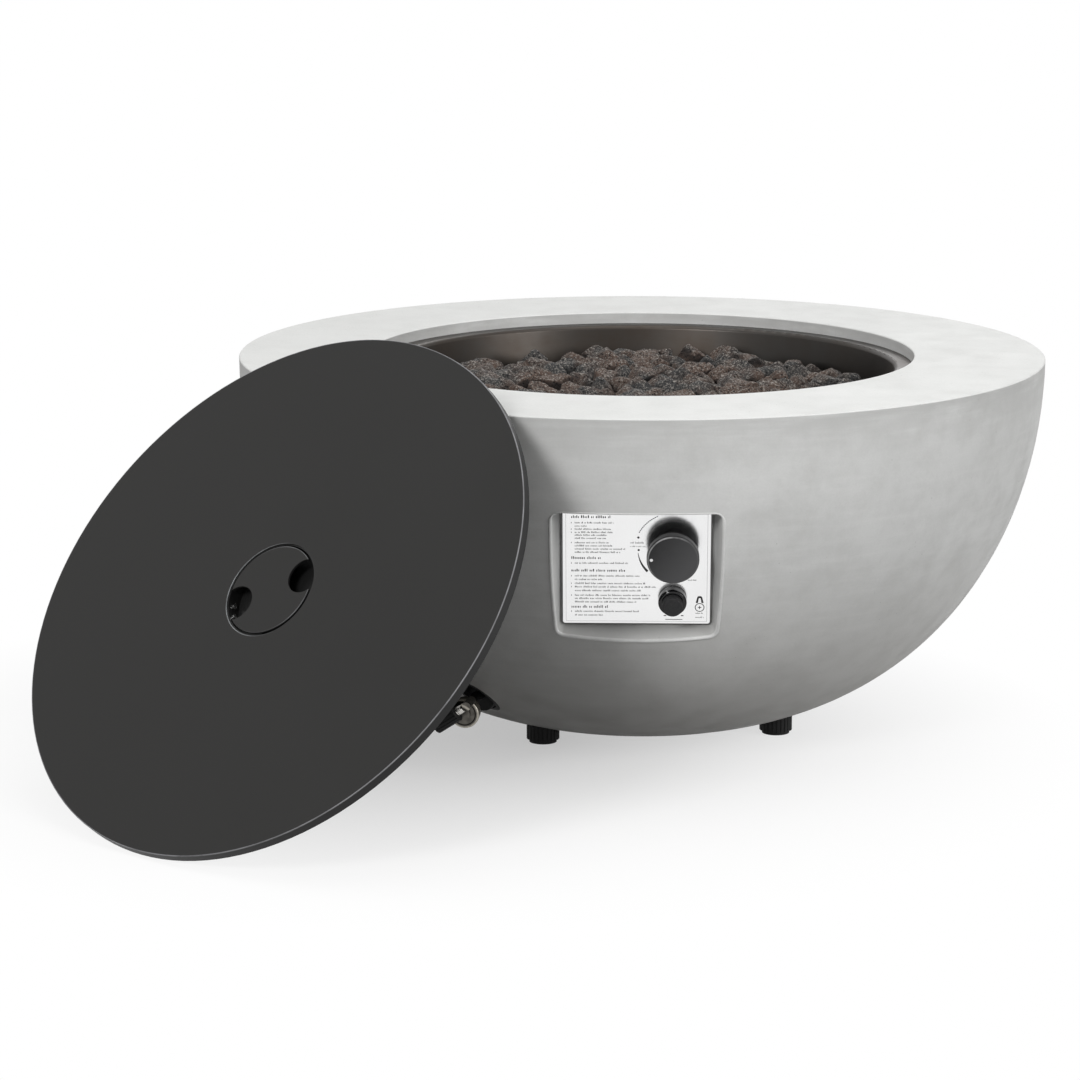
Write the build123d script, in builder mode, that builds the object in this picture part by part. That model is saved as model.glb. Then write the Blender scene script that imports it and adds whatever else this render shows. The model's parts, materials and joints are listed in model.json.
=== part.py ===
# Gas fire pit table: a round concrete bowl with a burner pan of lava rock, a control pocket in front,
# a gas inlet low at the side and a steel lid that leans against the rim.
# Millimetres. The origin is on the floor, on the bowl's axis. +Z is up and the controls face -Y.
import math
import os
import random

from build123d import *

os.makedirs("parts", exist_ok=True)

# Bowl
table_height = 489.0
table_radius = 533.4
side_tip = 8.0
side_power = 2.578
arc_stops = (0.3386, 0.6367, 1.0)
wall = 18.0
base_clearance = 12.0
access_hole_radius = 120.0
ledge_width = 25.2
recess_depth = 15.0
slab = 16.0
rim_round = 1.2

# Burner pan
pan_sheet = 2.0
pan_top_radius = 336.5
pan_draft = 14.5
pan_depth = 100.0
pan_gap = 1.5
pan_low_bend = 14.0
pan_lip = 4.0
drain_radius = 5.0
drain_circle = 250.0

# Ring burner
ring_radius = 150.0
ring_half = 9.0
ring_corner = 1.8
ring_skin = 1.2
burner_height = 20.0
port_radius = 1.25
port_count = 36
bar_radius = 6.5
hub_radius = 24.0
hub_half_height = 10.0
hub_skin = 2.5
hub_foot_radius = 32.0
hub_foot = 3.0
nipple_radius = 15.0
nipple_bore = 12.0
nipple_length = 22.0
thread_fit = 0.05
face_gap = 0.3
cut_through = 1.0

# Under the pan
lock_nut_flat = 40.0
lock_nut_height = 10.0
shield_radius = 170.0
shield_sheet = 1.2
shield_drop = 38.0
shield_hole = 24.0
spacer_radius = 5.0
spacer_inset = 40.0
spacer_count = 4
socket_radius = 18.5
socket_depth = 7.0
socket_length = 18.0
mixer_radius = 13.0
mixer_bore = 10.5
mixer_drop = 78.0
mixer_bend = 26.0
mixer_reach = 96.0
shutter_length = 18.0
shutter_width = 9.0
orifice_plug = 10.0
orifice_flat = 22.0
orifice_hex = 9.0
orifice_tail = 12.0
orifice_tail_radius = 5.0
orifice_bore = 1.2

# Pilot bracket, spark electrode and thermocouple
pilot_gap = 18.0
pilot_width = 44.0
pilot_foot = 26.0
pilot_height = 34.0
pilot_sheet = 1.6
pilot_bridge = 16.0
probe_spacing = 22.0
electrode_radius = 3.6
electrode_length = 42.0
electrode_wire = 1.1
probe_radius = 3.0
probe_length = 52.0
probe_drop = 18.0
probe_round = 1.8
probe_fit = 0.2

# Lava rock
rock_seed = 11
rock_pitch = 49.0
rock_gap = 1.6
rock_bed_height = 34.0
rock_low = 26.0
rock_high = 40.0
rock_heap = 10.0
rock_foot = 0.72
rock_crown = 0.55
rock_sides = 6
rock_clear = 0.6
rock_waist = (0.35, 0.6)
rock_girth = (0.8, 1.0)

# Control panel and its pocket
panel_x = -4.0
panel_inset = 76.1
panel_drop = 195.8
panel_tilt = 14.0
panel_width = 180.0
panel_height = 153.0
panel_sheet = 1.5
panel_return = 5.0
panel_gap = 2.5
panel_corner = 3.0
pocket_wall = 12.0
pocket_reach = 75.0
side_draft = 16.0
bottom_draft = 24.0
pocket_corner = 7.0
mouth_corner = 1.6
window_width = 76.0
window_height = 128.0
stud_radius = 2.5
stud_inset_x = 11.0
stud_inset_y = 12.0
stud_hole = 2.8
stud_tail = 6.0
panel_nut_flat = 8.0
panel_nut_height = 4.0
controls_x = 44.0

# Gas valve and its knob
knob_up = 23.9
knob_radius = 32.0
knob_face = 12.0
knob_out = 29.5
knob_neck = 19.5
knob_start = 5.0
knob_round = 2.6
knob_cavity = 16.2
knob_cavity_depth = 5.0
knob_push = 3.0
dot_radius = 2.0
dot_depth = 0.6
dot_inset = 5.8
stem_radius = 3.0
stem_fit = 0.05
stem_back = 27.0
stem_front = 26.0
valve_neck = 10.0
valve_neck_out = 4.6
valve_flange = 16.5
valve_flange_sheet = 3.0
valve_block = 34.0
valve_start = 12.0
valve_back = 56.0
plug_radius = 6.0
plug_start = 10.0
plug_back = 46.0
valve_nut_flat = 26.0
valve_nut_height = 3.2
port_outer = 7.5
port_length = 12.0
line_radius = 5.0

# Igniter
igniter_up = -43.2
igniter_flange = 17.0
igniter_flange_sheet = 2.5
igniter_collar = 14.2
igniter_collar_out = 5.0
igniter_barrel = 12.0
igniter_back = 68.0
igniter_front_bore = 10.4
igniter_step = 12.0
battery_radius = 5.25
battery_length = 44.5
battery_fit = 0.2
battery_tip = 0.8
cap_radius = 17.5
cap_height = 13.0
cap_top = 2.6
cap_round = 3.5
cap_opening = 12.7
button_radius = 12.6
button_out = 24.0
button_flange = 13.8
button_flange_sheet = 1.1
button_round = 2.0
button_stem = 9.0
button_push = 3.0
igniter_nut_flat = 30.0
igniter_nut_height = 5.0
terminal_length = 8.0
terminal_width = 4.8
terminal_sheet = 0.8
lead_radius = 1.6

# Gas lines and leads: straight run out of each port, and bend
flex_lead = 34.0
flex_bend = 30.0
flex_side = 20.0
feed_lead = 40.0
feed_bend = 34.0
spark_lead = 20.0
spark_bend = 16.0
probe_lead = 16.0
probe_bend = 14.0

# Levelling feet
foot_overhang = 20.862
foot_start_angle = 235.2
foot_count = 4
foot_radius = 21.5
foot_rib = 1.2
foot_ribs = 24
foot_top = 24.0
pad_radius = 18.0
pad_height = 4.0
pad_pin_radius = 4.0
pad_pin_height = 5.0
socket_clear = 1.6
foot_stud_radius = 5.0
foot_stud_length = 36.0
insert_radius = 8.0
insert_length = 40.0
boss_radius = 26.0
boss_cap = 6.0

# Gas inlet
inlet_angle = -126.4
inlet_height = 86.0
inlet_hole = 26.0
grommet_skin = 4.5
grommet_web = 6.0
pipe_radius = 6.0
pipe_fit = 0.1
pipe_inside = 50.0
pipe_rise = 32.0
pipe_bend = 12.0
regulator_offset = (-13.114, -46.674, -11.4)
regulator_axis = (-0.22, -0.97, -0.10)
regulator_radius = 19.5
regulator_body_depth = 9.5
regulator_cover_depth = 4.5
regulator_lead_in = 18.0
regulator_step = 1.0
regulator_round = 1.2
cap_boss_radius = 8.5
cap_boss_height = 2.0
lug_place = (9.5, 17.5)
lug_radius = 5.5
lug_standoff = 15.2
lug_run = 7.0
ferrule_axis = (-0.80, 0.22, -0.56)
ferrule_radius = 5.6
ferrule_length = 10.0
spigot_radius = 3.2
handwheel_radius = 12.0
handwheel_length = 34.0
handwheel_ribs = 16
handwheel_rib = 0.9
handwheel_bore = 8.5
handwheel_bore_depth = 22.0

# Lid
lid_play = 6.2
lid_depth = 12.0
lid_sheet = 1.8
lid_hem = 10.0
lid_edge_round = 1.0
lid_azimuth = 230.15
lid_tilt = 39.28
lid_shift = 10.2
lid_gap = 0.3
cup_radius = 63.5
cup_depth = 23.0
cup_sheet = 1.5
cup_flange = 10.0
bridge_gap = 2.5
bridge_sheet = 3.0
bite_radius = 23.0
bite_circle = 49.0
bite_angle = 32.0
bridge_leg_width = 34.0
bridge_leg_inset = 9.0
cup_screw_radius = 3.2
cup_screw_head = 1.6
cup_screw_gap = 0.2
cup_screw_depth = 14.0
cup_screw_spread = 7.0

# Heights and radii that follow from the sizes above
side_depth = table_height + side_tip
opening_radius = pan_top_radius + ledge_width
pan_bottom_radius = pan_top_radius - pan_draft
lid_radius = opening_radius - lid_play
pilot_radius = ring_radius + ring_half + pilot_gap + pilot_foot / 2
spacer_circle = shield_radius - spacer_inset
flange_top = table_height - recess_depth
ledge_height = flange_top - pan_sheet
slab_under = ledge_height - slab
base_top = base_clearance + wall
pan_flange_radius = opening_radius - pan_gap
slab_hole = pan_top_radius + pan_sheet + pan_lip + pan_gap
pan_floor = flange_top - pan_depth
pan_under = pan_floor - pan_sheet
burner_axis = pan_floor + burner_height
nipple_end = pan_floor - nipple_length
mixer_height = pan_under - mixer_drop
shield_top = pan_under - shield_drop
rock_bed_top = pan_floor + rock_bed_height


def side_radius(depth, inset=0.0):
    """Radius of the bowl's side at a depth below the table top, or of its inner face."""
    share = min(depth / (side_depth - inset), 1.0)
    return (table_radius - inset) * (1 - share**2) ** (1 / side_power)


inlet_wall_radius = side_radius(table_height - inlet_height)
foot_circle = side_radius(table_height - base_clearance) + foot_overhang


def bowl_region(inset, end_height):
    """Half section of the full bowl body, its side made of tangent arcs through points of its curve."""
    with BuildSketch() as region:
        with BuildLine():
            start = (side_radius(0, inset), table_height)
            tangent = (0, -1)
            for stop in arc_stops:
                depth = stop * (table_height - end_height)
                end = (side_radius(depth, inset), table_height - depth)
                arc = TangentArc(start, end, tangent=tangent)
                start, tangent = end, arc % 1
            Polyline(end, (0, end_height), (0, table_height), (side_radius(0, inset), table_height))
        make_face()
    return region.sketch


def drafted_block(plane, width, height, reach, drafts, corner):
    """Block that grows from a rounded rectangle on a plane to a larger one in front of it."""
    mouth = corner * mouth_corner
    side, low, high = (reach * math.tan(math.radians(angle)) for angle in drafts)
    with BuildPart() as block:
        with BuildSketch(plane):
            RectangleRounded(width, height, corner)
        with BuildSketch(plane.offset(reach)):
            with Locations((0, (high - low) / 2)):
                RectangleRounded(width + 2 * side, height + low + high, mouth)
        loft()
    return block.part


def tube(path_points, bends, radius):
    """A round bar along straight runs joined by tangent arcs."""
    with BuildPart() as bar:
        with BuildLine():
            FilletPolyline(*path_points, radius=bends)
        way = (path_points[1] - path_points[0]).normalized()
        with BuildSketch(Plane(origin=path_points[0], z_dir=way)):
            Circle(radius)
        sweep()
    return bar.part


# Planes of the panel, its controls, the lid and the gas inlet
tilt = math.radians(panel_tilt)
panel_face = Plane(
    origin=(panel_x, panel_inset - table_radius, table_height - panel_drop),
    x_dir=(1, 0, 0),
    z_dir=(0, -math.cos(tilt), -math.sin(tilt)),
)
panel_depth = panel_sheet + panel_return
pocket_floor = panel_face.offset(-panel_depth)
knob_plane = Plane(
    origin=panel_face.from_local_coords((controls_x, knob_up, 0)),
    x_dir=panel_face.x_dir,
    z_dir=panel_face.z_dir,
)
igniter_plane = Plane(
    origin=panel_face.from_local_coords((controls_x, igniter_up, 0)),
    x_dir=panel_face.x_dir,
    z_dir=panel_face.z_dir,
)

lean, slope = math.radians(lid_azimuth), math.radians(lid_tilt)
lean_out = Vector(math.cos(lean), math.sin(lean), 0)
lean_side = Vector(-math.sin(lean), math.cos(lean), 0)
lid_out = lean_out * math.cos(slope) + Vector(0, 0, math.sin(slope))
lid_up = lean_out * -math.sin(slope) + Vector(0, 0, math.cos(slope))
lid_proud = lid_sheet + lid_gap - rim_round * math.sin(slope)
lid_middle = lid_radius * math.cos(slope) + lid_depth * math.sin(slope)
lid_slide = (lid_middle - table_height - lid_proud * math.sin(slope)) / math.cos(slope)
lid_centre = (
    lean_out * table_radius
    + Vector(0, 0, table_height)
    + lean_side * lid_shift
    + lid_up * lid_slide
    + lid_out * lid_proud
)
lid_face = Plane(origin=lid_centre, x_dir=lean_side, z_dir=lid_out)

inlet_turn = math.radians(inlet_angle)
inlet_out = Vector(math.cos(inlet_turn), math.sin(inlet_turn), 0)
inlet_axis = Plane(origin=(0, 0, inlet_height), x_dir=inlet_out.cross(Vector(0, 0, 1)), z_dir=inlet_out)
inlet_mouth = inlet_out * inlet_wall_radius + Vector(0, 0, inlet_height)
regulator_side = Vector(0, 0, 1).cross(Vector(*regulator_axis)).normalized()
regulator_place = inlet_mouth + Vector(*regulator_offset)
regulator_face = Plane(origin=regulator_place, x_dir=regulator_side, z_dir=regulator_axis)
regulator_back = regulator_face.offset(-regulator_body_depth - regulator_cover_depth)
lug_axis = Plane(origin=regulator_face.from_local_coords((*lug_place, lug_standoff)), z_dir=ferrule_axis)
ferrule_plane = lug_axis.offset(lug_run + ferrule_length / 2)


def finish(name, part):
    """Names a piece and writes its file."""
    part.label = name
    export_step(part, f"parts/{name}.step")


# Bowl shell
pocket_drafts = (side_draft, bottom_draft, panel_tilt)
pocket_width = panel_width + 2 * panel_gap
pocket_height = panel_height + 2 * panel_gap
pocket_space = drafted_block(
    pocket_floor, pocket_width, pocket_height, pocket_reach, pocket_drafts, pocket_corner
)
pocket_block = drafted_block(
    pocket_floor.offset(-pocket_wall),
    pocket_width + 2 * pocket_wall,
    pocket_height + 2 * pocket_wall,
    pocket_reach + pocket_wall,
    pocket_drafts,
    pocket_corner + pocket_wall / 2,
)
bowl_outside = bowl_region(0, base_clearance)
bowl_inside = bowl_region(wall, base_top)

with BuildPart() as pocket_housing:
    with BuildSketch(Plane.XZ):
        add(bowl_outside)
    revolve(axis=Axis.Z)
    add(pocket_block, mode=Mode.INTERSECT)

with BuildPart() as bowl_shell:
    with BuildSketch(Plane.XZ):
        add(bowl_outside)
        add(bowl_inside, mode=Mode.SUBTRACT)
        with BuildLine():
            Polyline(
                (slab_hole, slab_under),
                (side_radius(table_height - slab_under), slab_under),
                (table_radius, table_height),
                (opening_radius, table_height),
                (opening_radius, ledge_height),
                (slab_hole, ledge_height),
                close=True,
            )
        make_face()
        with Locations((access_hole_radius / 2, base_clearance + wall / 2)):
            Rectangle(access_hole_radius, wall, mode=Mode.SUBTRACT)
    revolve(axis=Axis.Z)
    add(pocket_housing.part)
    with BuildSketch(Plane.XY.offset(base_top)):
        with PolarLocations(foot_circle, foot_count, start_angle=foot_start_angle):
            Circle(boss_radius)
    extrude(amount=foot_top + face_gap + insert_length + boss_cap - base_top)
    add(pocket_space, mode=Mode.SUBTRACT)
    with BuildSketch(panel_face):
        with Locations((controls_x, (knob_up + igniter_up) / 2)):
            RectangleRounded(window_width, window_height, pocket_corner)
        with GridLocations(panel_width - 2 * stud_inset_x, panel_height - 2 * stud_inset_y, 2, 2):
            Circle(stud_hole)
    extrude(amount=-panel_depth - pocket_wall - cut_through, mode=Mode.SUBTRACT)
    with BuildSketch(Plane.XY.offset(foot_top + face_gap)):
        with PolarLocations(foot_circle, foot_count, start_angle=foot_start_angle):
            Circle(foot_radius + socket_clear)
    extrude(amount=-foot_top, mode=Mode.SUBTRACT)
    with BuildSketch(Plane.XY.offset(foot_top + face_gap)):
        with PolarLocations(foot_circle, foot_count, start_angle=foot_start_angle):
            Circle(insert_radius)
    extrude(amount=insert_length, mode=Mode.SUBTRACT)
    with BuildSketch(inlet_axis.offset(inlet_wall_radius / 2)):
        Circle(inlet_hole)
    extrude(amount=inlet_wall_radius, mode=Mode.SUBTRACT)
    chamfer(bowl_shell.edges().filter_by(GeomType.CIRCLE).group_by(Axis.Z)[-1], rim_round)
finish("bowl_shell", bowl_shell.part)

# Burner pan
with BuildPart() as burner_pan:
    with BuildSketch(Plane.XZ):
        with BuildLine():
            FilletPolyline(
                (0, pan_floor),
                (pan_bottom_radius, pan_floor),
                (pan_top_radius, flange_top),
                (pan_flange_radius, flange_top),
                radius=[pan_low_bend, pan_lip + pan_sheet],
            )
            Line((pan_flange_radius, flange_top), (pan_flange_radius, ledge_height))
            FilletPolyline(
                (pan_flange_radius, ledge_height),
                (pan_top_radius + pan_sheet, ledge_height),
                (pan_bottom_radius + pan_sheet, pan_under),
                (0, pan_under),
                radius=[pan_lip, pan_low_bend + pan_sheet],
            )
            Line((0, pan_under), (0, pan_floor))
        make_face()
    revolve(axis=Axis.Z)
    with BuildSketch(Plane.XY.offset(pan_floor)):
        Circle(nipple_radius + thread_fit)
        with PolarLocations(drain_circle, foot_count, start_angle=foot_start_angle):
            Circle(drain_radius)
        with Locations((probe_spacing / 2, -pilot_radius), (-probe_spacing / 2, -pilot_radius)):
            Circle(electrode_radius + 2 * probe_fit)
    extrude(amount=-2 * pan_sheet, mode=Mode.SUBTRACT)
finish("burner_pan", burner_pan.part)

# Ring burner with its hub, feed bars and ports
with BuildPart() as burner_ring:
    with BuildSketch(Plane.XZ):
        with BuildLine():
            Polyline(
                (0, nipple_end),
                (nipple_radius, nipple_end),
                (nipple_radius, pan_floor),
                (hub_foot_radius, pan_floor),
                (hub_foot_radius, pan_floor + hub_foot),
                (nipple_radius, pan_floor + hub_foot),
                (nipple_radius, burner_axis - hub_half_height),
                (hub_radius, burner_axis - hub_half_height),
                (hub_radius, burner_axis + hub_half_height),
                (0, burner_axis + hub_half_height),
                close=True,
            )
        make_face()
        with Locations((ring_radius, burner_axis)):
            RectangleRounded(2 * ring_half, 2 * ring_half, ring_corner)
    revolve(axis=Axis.Z)
    with BuildSketch(Plane.YZ):
        with Locations((0, burner_axis)):
            Circle(bar_radius)
    extrude(amount=ring_radius, both=True)
    with BuildSketch(Plane.XZ):
        with Locations((ring_radius, burner_axis)):
            Rectangle(2 * (ring_half - ring_skin), 2 * (ring_half - ring_skin))
        with Locations(((hub_radius - hub_skin) / 2, burner_axis)):
            Rectangle(hub_radius - hub_skin, 2 * (hub_half_height - hub_skin))
        with Locations((nipple_bore / 2, (nipple_end + burner_axis) / 2)):
            Rectangle(nipple_bore, burner_axis - nipple_end)
    revolve(axis=Axis.Z, mode=Mode.SUBTRACT)
    with BuildSketch(Plane.YZ):
        with Locations((0, burner_axis)):
            Circle(bar_radius - ring_skin)
    extrude(amount=ring_radius, both=True, mode=Mode.SUBTRACT)
    with BuildSketch(Plane.XY.offset(burner_axis)):
        with PolarLocations(ring_radius, port_count):
            Circle(port_radius)
    extrude(amount=2 * ring_half, mode=Mode.SUBTRACT)
finish("burner_ring", burner_ring.part)

with BuildPart() as burner_lock_nut:
    with BuildSketch(Plane.XY.offset(pan_under)):
        RegularPolygon(lock_nut_flat / 2, 6, major_radius=False)
        Circle(nipple_radius + thread_fit, mode=Mode.SUBTRACT)
    extrude(amount=-lock_nut_height)
finish("burner_lock_nut", burner_lock_nut.part)

# Heat shield under the pan, on spacers
with BuildPart() as heat_shield:
    with BuildSketch(Plane.XY.offset(shield_top)):
        Circle(shield_radius)
        Circle(shield_hole, mode=Mode.SUBTRACT)
    extrude(amount=-shield_sheet)
finish("heat_shield", heat_shield.part)

with BuildPart() as shield_spacers:
    with BuildSketch(Plane.XY.offset(shield_top)):
        with PolarLocations(spacer_circle, spacer_count, start_angle=foot_start_angle):
            Circle(spacer_radius)
            Circle(spacer_radius / 2, mode=Mode.SUBTRACT)
    extrude(amount=shield_drop)
finish("shield_spacers", shield_spacers.part)

# Mixer tube from the nipple to the orifice, with air shutters
mixer_start = nipple_end - socket_length + socket_depth
mixer_route = [
    Vector(0, 0, mixer_start),
    Vector(0, 0, mixer_height),
    Vector(0, -mixer_reach, mixer_height),
]
with BuildPart() as venturi_mixer:
    with BuildSketch(Plane.XY.offset(mixer_start)):
        Circle(socket_radius)
    extrude(amount=socket_length)
    add(tube(mixer_route, mixer_bend, mixer_radius))
    add(tube(mixer_route, mixer_bend, mixer_bore), mode=Mode.SUBTRACT)
    with BuildSketch(Plane.XY.offset(mixer_start)):
        Circle(nipple_bore)
    extrude(amount=socket_length, mode=Mode.SUBTRACT)
    with BuildSketch(Plane.XY.offset(nipple_end)):
        Circle(nipple_radius + thread_fit)
    extrude(amount=socket_depth, mode=Mode.SUBTRACT)
    with BuildSketch(Plane.XY.offset(mixer_height)):
        with Locations((0, shutter_length + orifice_plug - mixer_reach)):
            SlotCenterToCenter(shutter_length - shutter_width, shutter_width, rotation=90)
    extrude(amount=mixer_radius + cut_through, both=True, mode=Mode.SUBTRACT)
finish("venturi_mixer", venturi_mixer.part)

orifice_seat = Plane(origin=(0, -mixer_reach, mixer_height), x_dir=(1, 0, 0), z_dir=(0, -1, 0))
with BuildPart() as orifice_fitting:
    with BuildSketch(orifice_seat):
        Circle(mixer_bore - thread_fit)
    extrude(amount=-orifice_plug)
    with BuildSketch(orifice_seat):
        RegularPolygon(orifice_flat / 2, 6, major_radius=False)
    extrude(amount=orifice_hex)
    with BuildSketch(orifice_seat.offset(orifice_hex)):
        Circle(orifice_tail_radius)
    extrude(amount=orifice_tail)
    with BuildSketch(orifice_seat.offset(orifice_hex + orifice_tail)):
        Circle(orifice_bore)
    extrude(amount=-orifice_hex - orifice_tail - orifice_plug, mode=Mode.SUBTRACT)
finish("orifice_fitting", orifice_fitting.part)

# Pilot bracket on the pan floor, with the electrode and the thermocouple through it
bracket_top = pan_floor + pilot_height
with BuildPart() as pilot_bracket:
    with BuildSketch(Plane.YZ):
        with BuildLine():
            Polyline(
                (-pilot_radius - pilot_foot / 2, pan_floor),
                (-pilot_radius + pilot_foot / 2, pan_floor),
                (-pilot_radius + pilot_foot / 2, bracket_top),
                (-pilot_radius - pilot_bridge / 2, bracket_top),
                (-pilot_radius - pilot_bridge / 2, bracket_top - pilot_sheet),
                (-pilot_radius + pilot_foot / 2 - pilot_sheet, bracket_top - pilot_sheet),
                (-pilot_radius + pilot_foot / 2 - pilot_sheet, pan_floor + pilot_sheet),
                (-pilot_radius - pilot_foot / 2, pan_floor + pilot_sheet),
                close=True,
            )
        make_face()
    extrude(amount=pilot_width / 2, both=True)
    with BuildSketch(Plane.XY.offset(pan_floor)):
        with Locations((-probe_spacing / 2, -pilot_radius)):
            Circle(electrode_radius + probe_fit)
        with Locations((probe_spacing / 2, -pilot_radius)):
            Circle(probe_radius + probe_fit)
    extrude(amount=2 * pilot_height, mode=Mode.SUBTRACT)
finish("pilot_bracket", pilot_bracket.part)

probe_foot = pan_under - probe_drop
with BuildPart() as spark_electrode:
    with BuildSketch(Plane.XY.offset(probe_foot)):
        with Locations((-probe_spacing / 2, -pilot_radius)):
            Circle(electrode_radius)
    extrude(amount=electrode_length + probe_drop)
    with BuildSketch(Plane.XY.offset(probe_foot + electrode_length + probe_drop)):
        with Locations((-probe_spacing / 2, -pilot_radius)):
            Circle(electrode_wire)
    extrude(amount=electrode_length / 4)
finish("spark_electrode", spark_electrode.part)

with BuildPart() as thermocouple:
    with BuildSketch(Plane.XY.offset(probe_foot)):
        with Locations((probe_spacing / 2, -pilot_radius)):
            Circle(probe_radius)
    extrude(amount=probe_length)
    fillet(thermocouple.edges().group_by(Axis.Z)[-1], probe_round)
finish("thermocouple", thermocouple.part)

# Lava rock: a lower bed packed around the burner, and the separate rocks on top of it
pan_slope = (pan_top_radius - pan_bottom_radius) / pan_depth
with BuildPart() as lava_rock_bed:
    with BuildSketch(Plane.XZ):
        with BuildLine():
            Polyline(
                (0, pan_floor),
                (pan_bottom_radius - pan_low_bend, pan_floor),
                (pan_bottom_radius - rock_clear, pan_floor + pan_low_bend),
                (pan_bottom_radius - rock_clear + pan_slope * rock_bed_height, rock_bed_top),
                (0, rock_bed_top),
                close=True,
            )
        make_face()
        with Locations((hub_foot_radius / 2, (pan_floor + burner_axis + hub_half_height) / 2)):
            Rectangle(
                hub_foot_radius + 2 * rock_clear,
                burner_height + hub_half_height + 2 * rock_clear,
                mode=Mode.SUBTRACT,
            )
        with Locations((ring_radius, (pan_floor + burner_axis + ring_half) / 2)):
            Rectangle(
                2 * (ring_half + rock_clear),
                burner_height + ring_half + 2 * rock_clear,
                mode=Mode.SUBTRACT,
            )
    revolve(axis=Axis.Z)
    with BuildSketch(Plane.YZ):
        with Locations((0, burner_axis)):
            Circle(bar_radius + rock_clear)
        with Locations((0, burner_axis - burner_height / 2)):
            Rectangle(2 * (bar_radius + rock_clear), burner_height)
    extrude(amount=ring_radius, both=True, mode=Mode.SUBTRACT)
    with BuildSketch(Plane.XY.offset(pan_floor)):
        with Locations((0, -pilot_radius)):
            Rectangle(pilot_width + 4 * rock_clear, pilot_foot + 4 * rock_clear)
    extrude(amount=2 * pilot_height, mode=Mode.SUBTRACT)
finish("lava_rock_bed", lava_rock_bed.part)


def rock_places():
    """Rows of rock centres on the bed, each row set half a rock over."""
    reach = pan_bottom_radius + pan_slope * rock_bed_height + rock_gap - rock_pitch / 2
    row_step = rock_pitch * math.sqrt(3) / 2
    rows = int(reach / row_step)
    for row in range(-rows, rows + 1):
        shift = rock_pitch / 2 if row % 2 else 0.0
        columns = int(reach / rock_pitch) + 1
        for column in range(-columns, columns + 1):
            x, y = column * rock_pitch + shift, row * row_step
            if math.hypot(x, y) < reach:
                yield x, y


def rock(x, y, high):
    """One rock: a rough prism that narrows above and below its waist."""
    waist = rock_bed_top + high * rng.uniform(*rock_waist)
    levels = ((rock_bed_top, rock_foot), (waist, 1.0), (rock_bed_top + high, rock_crown))
    girth = rock_pitch / 2 - rock_gap
    turn = rng.uniform(0, 360 / rock_sides)
    corners = []
    for index in range(rock_sides):
        angle = math.radians(turn + index * 360 / rock_sides)
        size = girth * rng.uniform(*rock_girth)
        corners.append((size * math.cos(angle), size * math.sin(angle)))
    with BuildPart() as stone:
        for height, share in levels:
            with BuildSketch(Plane((x, y, height))):
                Polygon(*((share * across, share * along) for across, along in corners), align=None)
        loft(ruled=True)
    return stone.part


rng = random.Random(rock_seed)
stones = []
for rock_x, rock_y in rock_places():
    near_pilot = abs(rock_x) < pilot_width and abs(rock_y + pilot_radius) < rock_pitch
    if not near_pilot:
        heap = rock_heap * (1 - math.hypot(rock_x, rock_y) / pan_bottom_radius)
        stones.append(rock(rock_x, rock_y, rng.uniform(rock_low, rock_high) + heap))
lava_rocks = Compound(children=stones)
finish("lava_rocks", lava_rocks)

# Control panel: a sheet with folded sides and four studs, and the nuts behind the pocket
with BuildPart() as control_panel:
    with BuildSketch(panel_face):
        RectangleRounded(panel_width, panel_height, panel_corner)
        with Locations((controls_x, knob_up)):
            Circle(valve_neck + stem_fit, mode=Mode.SUBTRACT)
        with Locations((controls_x, igniter_up)):
            Circle(igniter_barrel + stem_fit, mode=Mode.SUBTRACT)
    extrude(amount=-panel_sheet)
    with BuildSketch(panel_face.offset(-panel_sheet)):
        with GridLocations(panel_width - panel_sheet, 0, 2, 1):
            Rectangle(panel_sheet, panel_height - 2 * panel_corner)
    extrude(amount=-panel_return)
    with BuildSketch(panel_face.offset(-panel_sheet)):
        with GridLocations(panel_width - 2 * stud_inset_x, panel_height - 2 * stud_inset_y, 2, 2):
            Circle(stud_radius)
    extrude(amount=-panel_return - pocket_wall - panel_nut_height - stud_tail)
finish("control_panel", control_panel.part)

with BuildPart() as panel_nuts:
    with BuildSketch(pocket_floor.offset(-pocket_wall)):
        with GridLocations(panel_width - 2 * stud_inset_x, panel_height - 2 * stud_inset_y, 2, 2):
            RegularPolygon(panel_nut_flat / 2, 6, major_radius=False)
            Circle(stud_radius + thread_fit, mode=Mode.SUBTRACT)
    extrude(amount=-panel_nut_height)
finish("panel_nuts", panel_nuts.part)

# Gas valve
outlet_face = knob_plane.offset(-valve_back)
inlet_port = Plane(
    origin=knob_plane.from_local_coords((-valve_block / 2, 0, -(valve_start + valve_back) / 2)),
    x_dir=panel_face.y_dir,
    z_dir=(-1, 0, 0),
)
with BuildPart() as valve_body:
    with BuildSketch(knob_plane.offset(valve_neck_out)):
        Circle(valve_neck)
    extrude(amount=-valve_neck_out - valve_start)
    with BuildSketch(knob_plane.offset(-panel_sheet)):
        Circle(valve_flange)
    extrude(amount=-valve_flange_sheet)
    with BuildSketch(knob_plane.offset(-valve_start)):
        RectangleRounded(valve_block, valve_block, pocket_corner)
    extrude(amount=valve_start - valve_back)
    with BuildSketch(outlet_face):
        Circle(port_outer)
    extrude(amount=-port_length)
    with BuildSketch(inlet_port):
        Circle(port_outer)
    extrude(amount=port_length)
    with BuildSketch(knob_plane.offset(valve_neck_out)):
        Circle(plug_radius)
    extrude(amount=-valve_neck_out - plug_back, mode=Mode.SUBTRACT)
finish("valve_body", valve_body.part)

with BuildPart() as valve_nut:
    with BuildSketch(knob_plane):
        RegularPolygon(valve_nut_flat / 2, 6, major_radius=False)
        Circle(valve_neck + stem_fit, mode=Mode.SUBTRACT)
    extrude(amount=valve_nut_height)
finish("valve_nut", valve_nut.part)

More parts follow.
